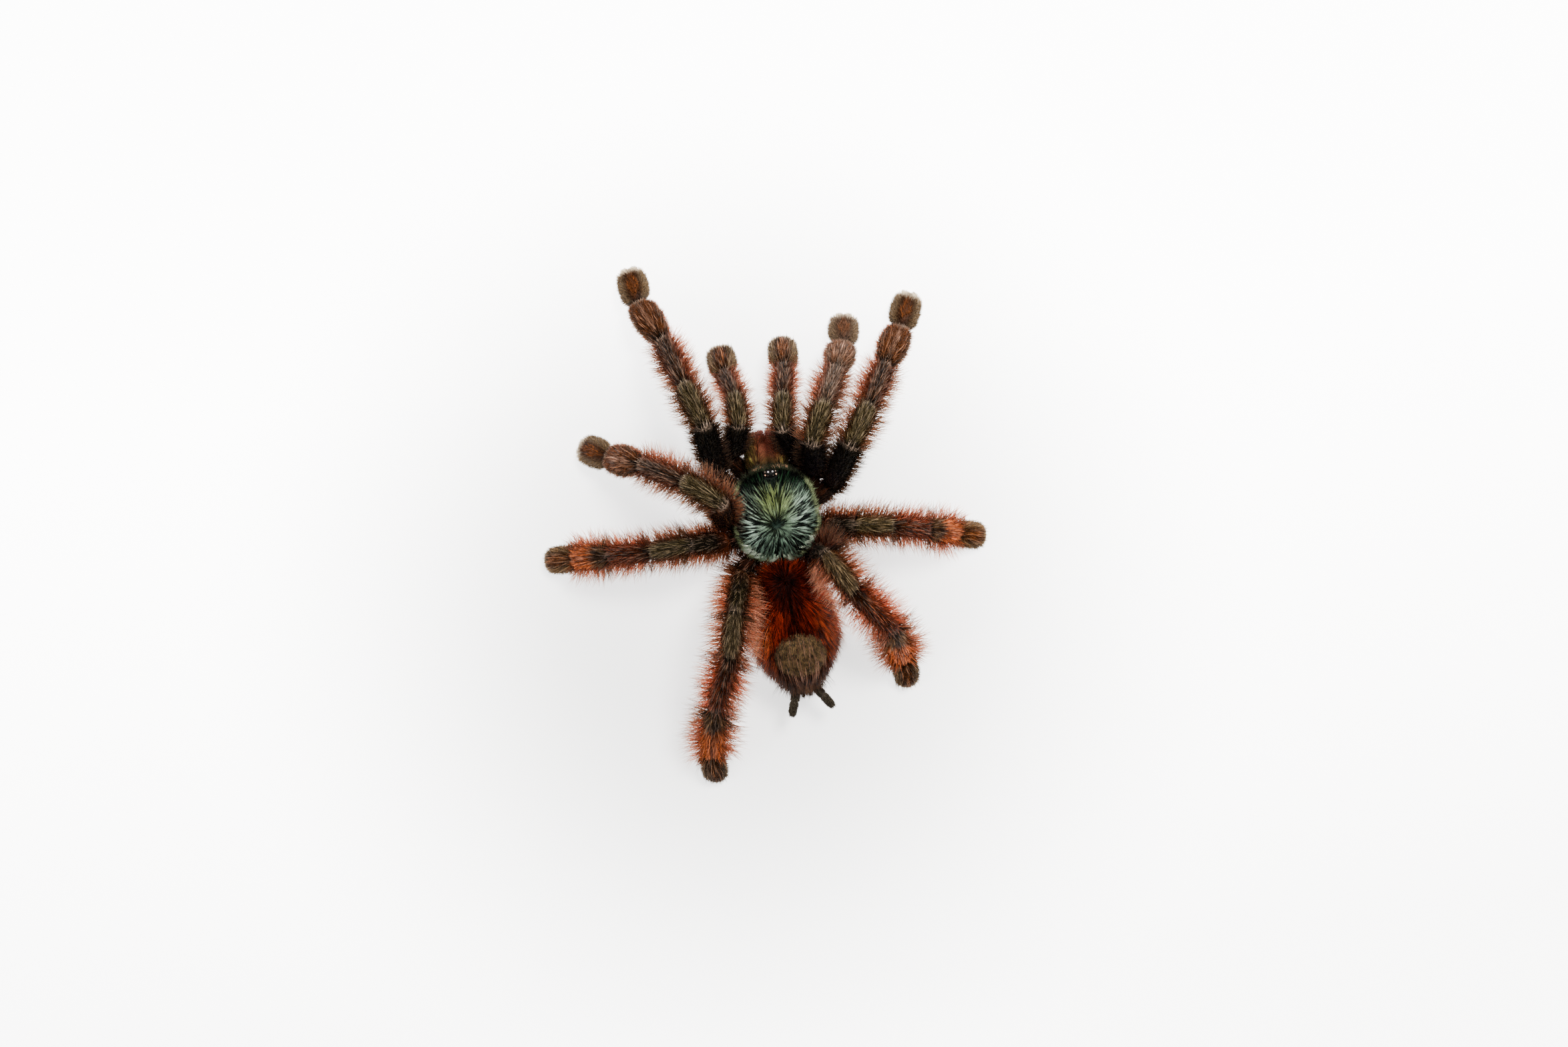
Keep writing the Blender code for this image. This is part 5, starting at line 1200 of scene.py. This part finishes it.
# Eyes. Eight small glossy lenses in two rows on the black mound: offset from the midline, offset
# from the mound's middle and radius.
EYES = {
    "front_inner": (0.42, 0.34, 0.30),
    "front_outer": (0.98, 0.40, 0.27),
    "rear_outer": (1.02, -0.2, 0.25),
    "rear_inner": (0.5, -0.33, 0.16),
}


lens = coat_material("lens", 0.1, 1500.0, Coat_Weight=0.8)
# Painted glint: each lens is paler, whitish or amber by eye, on the cap that faces the key lamp.
GLINT = unit(np.array((0.25, 0.3, 0.92)))
PAINTED_GLINT = {"front_inner": srgb(196, 190, 190), "front_outer": srgb(84, 66, 54), "rear_outer": srgb(232, 172, 134),
         "rear_inner": srgb(70, 56, 46)}
for name, (out, ahead, radius) in EYES.items():
    for side_name, side in (("left", -1), ("right", 1)):
        level = 1.0 - (out / EYE_MOUND_SIZE[0]) ** 2 - (ahead / EYE_MOUND_SIZE[1]) ** 2
        middle = EYE_MOUND + (side * out, ahead, EYE_MOUND_SIZE[2] * math.sqrt(max(level, 0.06)) - 0.1)
        points, faces, _, uv = ellipsoid(middle, np.full(3, radius), srgb(12, 9, 8), 14, 24)
        facing = unit(points - middle) @ GLINT
        colour = mix(np.broadcast_to(srgb(14, 10, 8), points.shape), PAINTED_GLINT[name], ease(facing, 0.72, 0.9))
        eye = make_object(f"lens_{name}_{side_name}", [(points, faces, colour, uv)], lens, "LensMap")
        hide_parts(f"eye_{name}_{side_name}")

# Fangs. Curved, glossy black-brown hooks of hard cuticle, one under each jaw, hinged near its front
# and folded back.
FANG_LENGTH = 3.6
FANG_RADIUS = 0.53
FANG_BROWN = srgb(34, 22, 16)
fang_gloss, fang_shader = make_material("fang")
ramp = add_node(fang_gloss, "ValToRGB", {"Fac": object_noise(fang_gloss, 900.0, 2.0).outputs["Fac"]})
ramp.color_ramp.elements[0].color = (*(FANG_BROWN * 0.6), 1.0)
ramp.color_ramp.elements[1].color = (*(FANG_BROWN * 1.6), 1.0)
fill(fang_gloss, fang_shader, {"Base Color": ramp.outputs["Color"], "Roughness": 0.2, "Coat Weight": 0.6,
                               "Coat Roughness": 0.05})


def bent_tube(start, directions, radii, step, sides=14):
    """Closed tube that takes one step along each direction in turn, with a radius at each end."""
    middles = np.concatenate(((start,), start + np.cumsum(directions[:-1] * step, axis=0)))
    across = np.broadcast_to((1.0, 0.0, 0.0), directions.shape)
    over = unit(np.cross(across, directions))
    angle = 2 * np.pi * np.arange(sides) / sides
    ring = across[:, None] * np.sin(angle)[None, :, None] + over[:, None] * np.cos(angle)[None, :, None]
    points = (middles[:, None] + ring * radii[:, None, None]).reshape(-1, 3)
    points = np.concatenate((points, middles[[0, -1]] + directions[[0, -1]] * ((0.0,), (0.12,))))
    colours = np.broadcast_to(FANG_BROWN, points.shape)
    uv = np.stack((np.arange(len(points)) % sides / sides, np.arange(len(points)) / len(points)), -1)
    return points, tube_faces(points, len(middles), sides), colours, uv


for side_name, side in (("left", -1), ("right", 1)):
    reach = 0.72 * CHELICERA_LENGTH
    start = np.array((CHELICERA_PAIR_X + side * CHELICERA_OFFSET, HEAD_FRONT_Y + 0.3 + reach,
                      CHELICERA_ROOT_Z - math.tan(CHELICERA_DROOP) * reach - CHELICERA_HALF_SIZE[1] - 0.25))
    share = np.linspace(0.0, 1.0, 16)
    turn = np.radians(90 - 78 * share)
    directions = unit(np.stack((np.full(16, -0.12 * side), -np.cos(turn), -np.sin(turn)), -1))
    fang = make_object(f"fang_hook_{side_name}",
                       [bent_tube(start, directions, FANG_RADIUS * (1.0 - 0.82 * share), FANG_LENGTH / 15)],
                       fang_gloss, "FangMap")
    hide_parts(f"fang_{side_name}")

# Spinnerets. Two long splayed fingers in dark velvet, each in three joints, and two short ones
# between them, at the rear of the sac.
SPINNERETS = {
    "outer_left": (-1.6, -21, 5.3, 0.8),
    "outer_right": (1.65, 31, 5.4, 0.8),
    "inner_left": (-0.52, -4, 1.7, 0.32),
    "inner_right": (0.52, 6, 1.7, 0.32),
}
SPINNERET_SHAPE = np.array(((0.0, 0.8), (0.12, 1.0), (0.38, 1.0), (0.45, 0.8), (0.52, 1.0), (0.8, 0.9),
                            (0.93, 0.7), (0.99, 0.4), (1.01, 0.05)))
velvet_black = coat_material("spinneret_velvet", 0.6, 1500.0)
dice = np.random.default_rng(600)
rear, rear_across, _, _ = abdomen_rings(np.array((0.99,)))
for name, (out, turn, length, radius) in SPINNERETS.items():
    heading = ABDOMEN_TURN + math.radians(turn)
    ahead = unit(np.array((math.sin(heading), -math.cos(heading), -0.12)))
    across = np.array((math.cos(heading), math.sin(heading), 0.0))
    upward = unit(np.cross(across, ahead))
    start = rear[0] + rear_across * out + np.array((0.0, -0.65, -0.5))

    def finger(share, angle):
        """Point and normal: the radius eased between the stations of the three joints."""
        wide = np.interp(share, SPINNERET_SHAPE[:, 0], SPINNERET_SHAPE[:, 1]) * radius - 0.06
        side = across * np.sin(angle)[:, None] + upward * np.cos(angle)[:, None]
        return start + ahead * (share * length)[:, None] + side * wide[:, None], side

    stations = np.concatenate((np.linspace(0.0, 0.93, 26), (0.96, 0.99, 1.01)))
    points, faces, uv = closed_tube(lambda share, angle: finger(share, angle)[0], stations, 16)
    grey = np.exp(-(((uv[:, 1] - 0.45) / 0.04) ** 2))
    colour = mix(np.broadcast_to(srgb(30, 25, 20), points.shape), srgb(120, 108, 98), 0.7 * grey)
    parts = [(points, faces, colour, uv)]
    count = int(420 * length * radius)
    share, angle = dice.uniform(0.02, 1.0, count), dice.uniform(-np.pi, np.pi, count)
    point, normal = finger(share, angle)
    colour = mix(srgb(34, 28, 22), srgb(80, 72, 58), dice.random(count))
    lie = np.broadcast_to(ahead, point.shape)
    parts.append(hairs(point, normal, lie, dice.uniform(0.1, 0.32, count), dice.uniform(0.3, 0.6, count), 0.09,
                       colour, colour * 1.2, unwrap(angle, share), False))
    spinneret = make_object(f"finger_{name}", parts, velvet_black)
    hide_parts(f"spinneret_{name}")

# Floor, light and camera. A white sheet, lit from behind, its glow dimmed round the spider as a painted
# shadow and towards the bottom of the picture as painted shade, under a lamp at the upper right and soft
# fills, seen from straight above; the camera stands where the photograph's did, turned so that the head
# points a little left.
floor_data = bpy.data.meshes.new("floor")
floor_data.from_pydata([(-2, -2, 0), (2, -2, 0), (2, 2, 0), (-2, 2, 0)], [], [(0, 1, 2, 3)])
floor = bpy.data.objects.new("floor", floor_data)
bpy.context.scene.collection.objects.link(floor)
paper, paper_shader = make_material("paper")
where = add_node(paper, "TexCoord", {}).outputs["Object"]
# Painted shadow: the glow falls to a fifth within 2 cm of a point beside the abdomen's left flank, easing back to full
# by 10.5 cm; painted shade: it falls to 0.62 towards the bottom of the picture.
reach = add_node(paper, "VectorMath", {0: where, 1: (-0.008, -0.016, 0.0)}, operation="DISTANCE")
bright = add_node(paper, "MapRange", {"Value": reach.outputs["Value"], "From Min": 0.02, "From Max": 0.105,
                                      "To Min": 0.2}, interpolation_type="SMOOTHSTEP")
height = add_node(paper, "SeparateXYZ", {"Vector": where})
dusk = add_node(paper, "MapRange", {"Value": height.outputs["Y"], "From Min": -0.09, "From Max": 0.03, "To Min": 0.62})
shade = add_node(paper, "Math", {0: bright.outputs["Result"], 1: dusk.outputs["Result"]}, operation="MULTIPLY")
glow = add_node(paper, "Mix", {"A": (0.0, 0.0, 0.0, 1.0), "B": (1.0, 0.995, 0.985, 1.0),
                               "Factor": shade.outputs["Value"]}, data_type="RGBA")
fill(paper, paper_shader, {"Base Color": (0.83, 0.825, 0.815, 1.0), "Roughness": 0.9,
                           "Emission Color": glow.outputs["Result"], "Emission Strength": 11.0})
floor_data.materials.append(paper)


def area_light(name, place, target, size, watts, colour):
    """Square soft light at a place, aimed at a target point."""
    light = bpy.data.lights.new(name, "AREA")
    light.shape = "SQUARE"
    light.size = size
    light.energy = watts
    light.color = colour
    thing = bpy.data.objects.new(name, light)
    back = unit(np.array(place) - np.array(target))
    right = unit(np.cross((0.0, 1.0, 0.02), back))
    turn = np.array((right, np.cross(back, right), back)).T
    thing.matrix_world = Matrix([[*turn[row], place[row]] for row in range(3)] + [[0, 0, 0, 1]])
    bpy.context.scene.collection.objects.link(thing)


area_light("key", (0.33, 0.3, 0.72), (0, 0, 0), 0.3, 15.0, (1.0, 0.985, 0.96))
area_light("overhead", (-0.05, 0.1, 0.95), (0, 0, 0), 0.7, 3.5, (1.0, 1.0, 1.0))
area_light("left_fill", (-0.7, -0.1, 0.5), (0, 0, 0), 0.4, 6.0, (0.97, 0.98, 1.0))
world = bpy.data.worlds.new("studio")
world.use_nodes = True
world.node_tree.nodes["Background"].inputs["Color"].default_value = (1.0, 1.0, 1.0, 1.0)
world.node_tree.nodes["Background"].inputs["Strength"].default_value = 0.1
bpy.context.scene.world = world

PIXELS_PER_MM = 8.0
PHOTO_SIZE = (2349, 1568)
FOVEA_PIXEL = (1164, 787)
CAMERA_TURN = math.radians(7.3)
CAMERA_HEIGHT = 700.0
FOCUS_HEIGHT = 8.0
SENSOR = 36.0
camera_data = bpy.data.cameras.new("camera")
camera_data.sensor_width = SENSOR
camera_data.lens = SENSOR * (CAMERA_HEIGHT - FOCUS_HEIGHT) / (PHOTO_SIZE[0] / PIXELS_PER_MM)
camera_data.clip_start = 0.05
camera = bpy.data.objects.new("camera", camera_data)
right = np.array((math.cos(CAMERA_TURN), -math.sin(CAMERA_TURN), 0.0))
up = np.array((math.sin(CAMERA_TURN), math.cos(CAMERA_TURN), 0.0))
offset = ((PHOTO_SIZE[0] / 2 - FOVEA_PIXEL[0]) / PIXELS_PER_MM, (FOVEA_PIXEL[1] - PHOTO_SIZE[1] / 2) / PIXELS_PER_MM)
place = (right * offset[0] + up * offset[1] + (0, 0, CAMERA_HEIGHT) - STANCE) * MM
turn = np.array((right, up, (0.0, 0.0, 1.0))).T
camera.matrix_world = Matrix([[*turn[row], place[row]] for row in range(3)] + [[0, 0, 0, 1]])
bpy.context.scene.collection.objects.link(camera)
bpy.context.scene.camera = camera
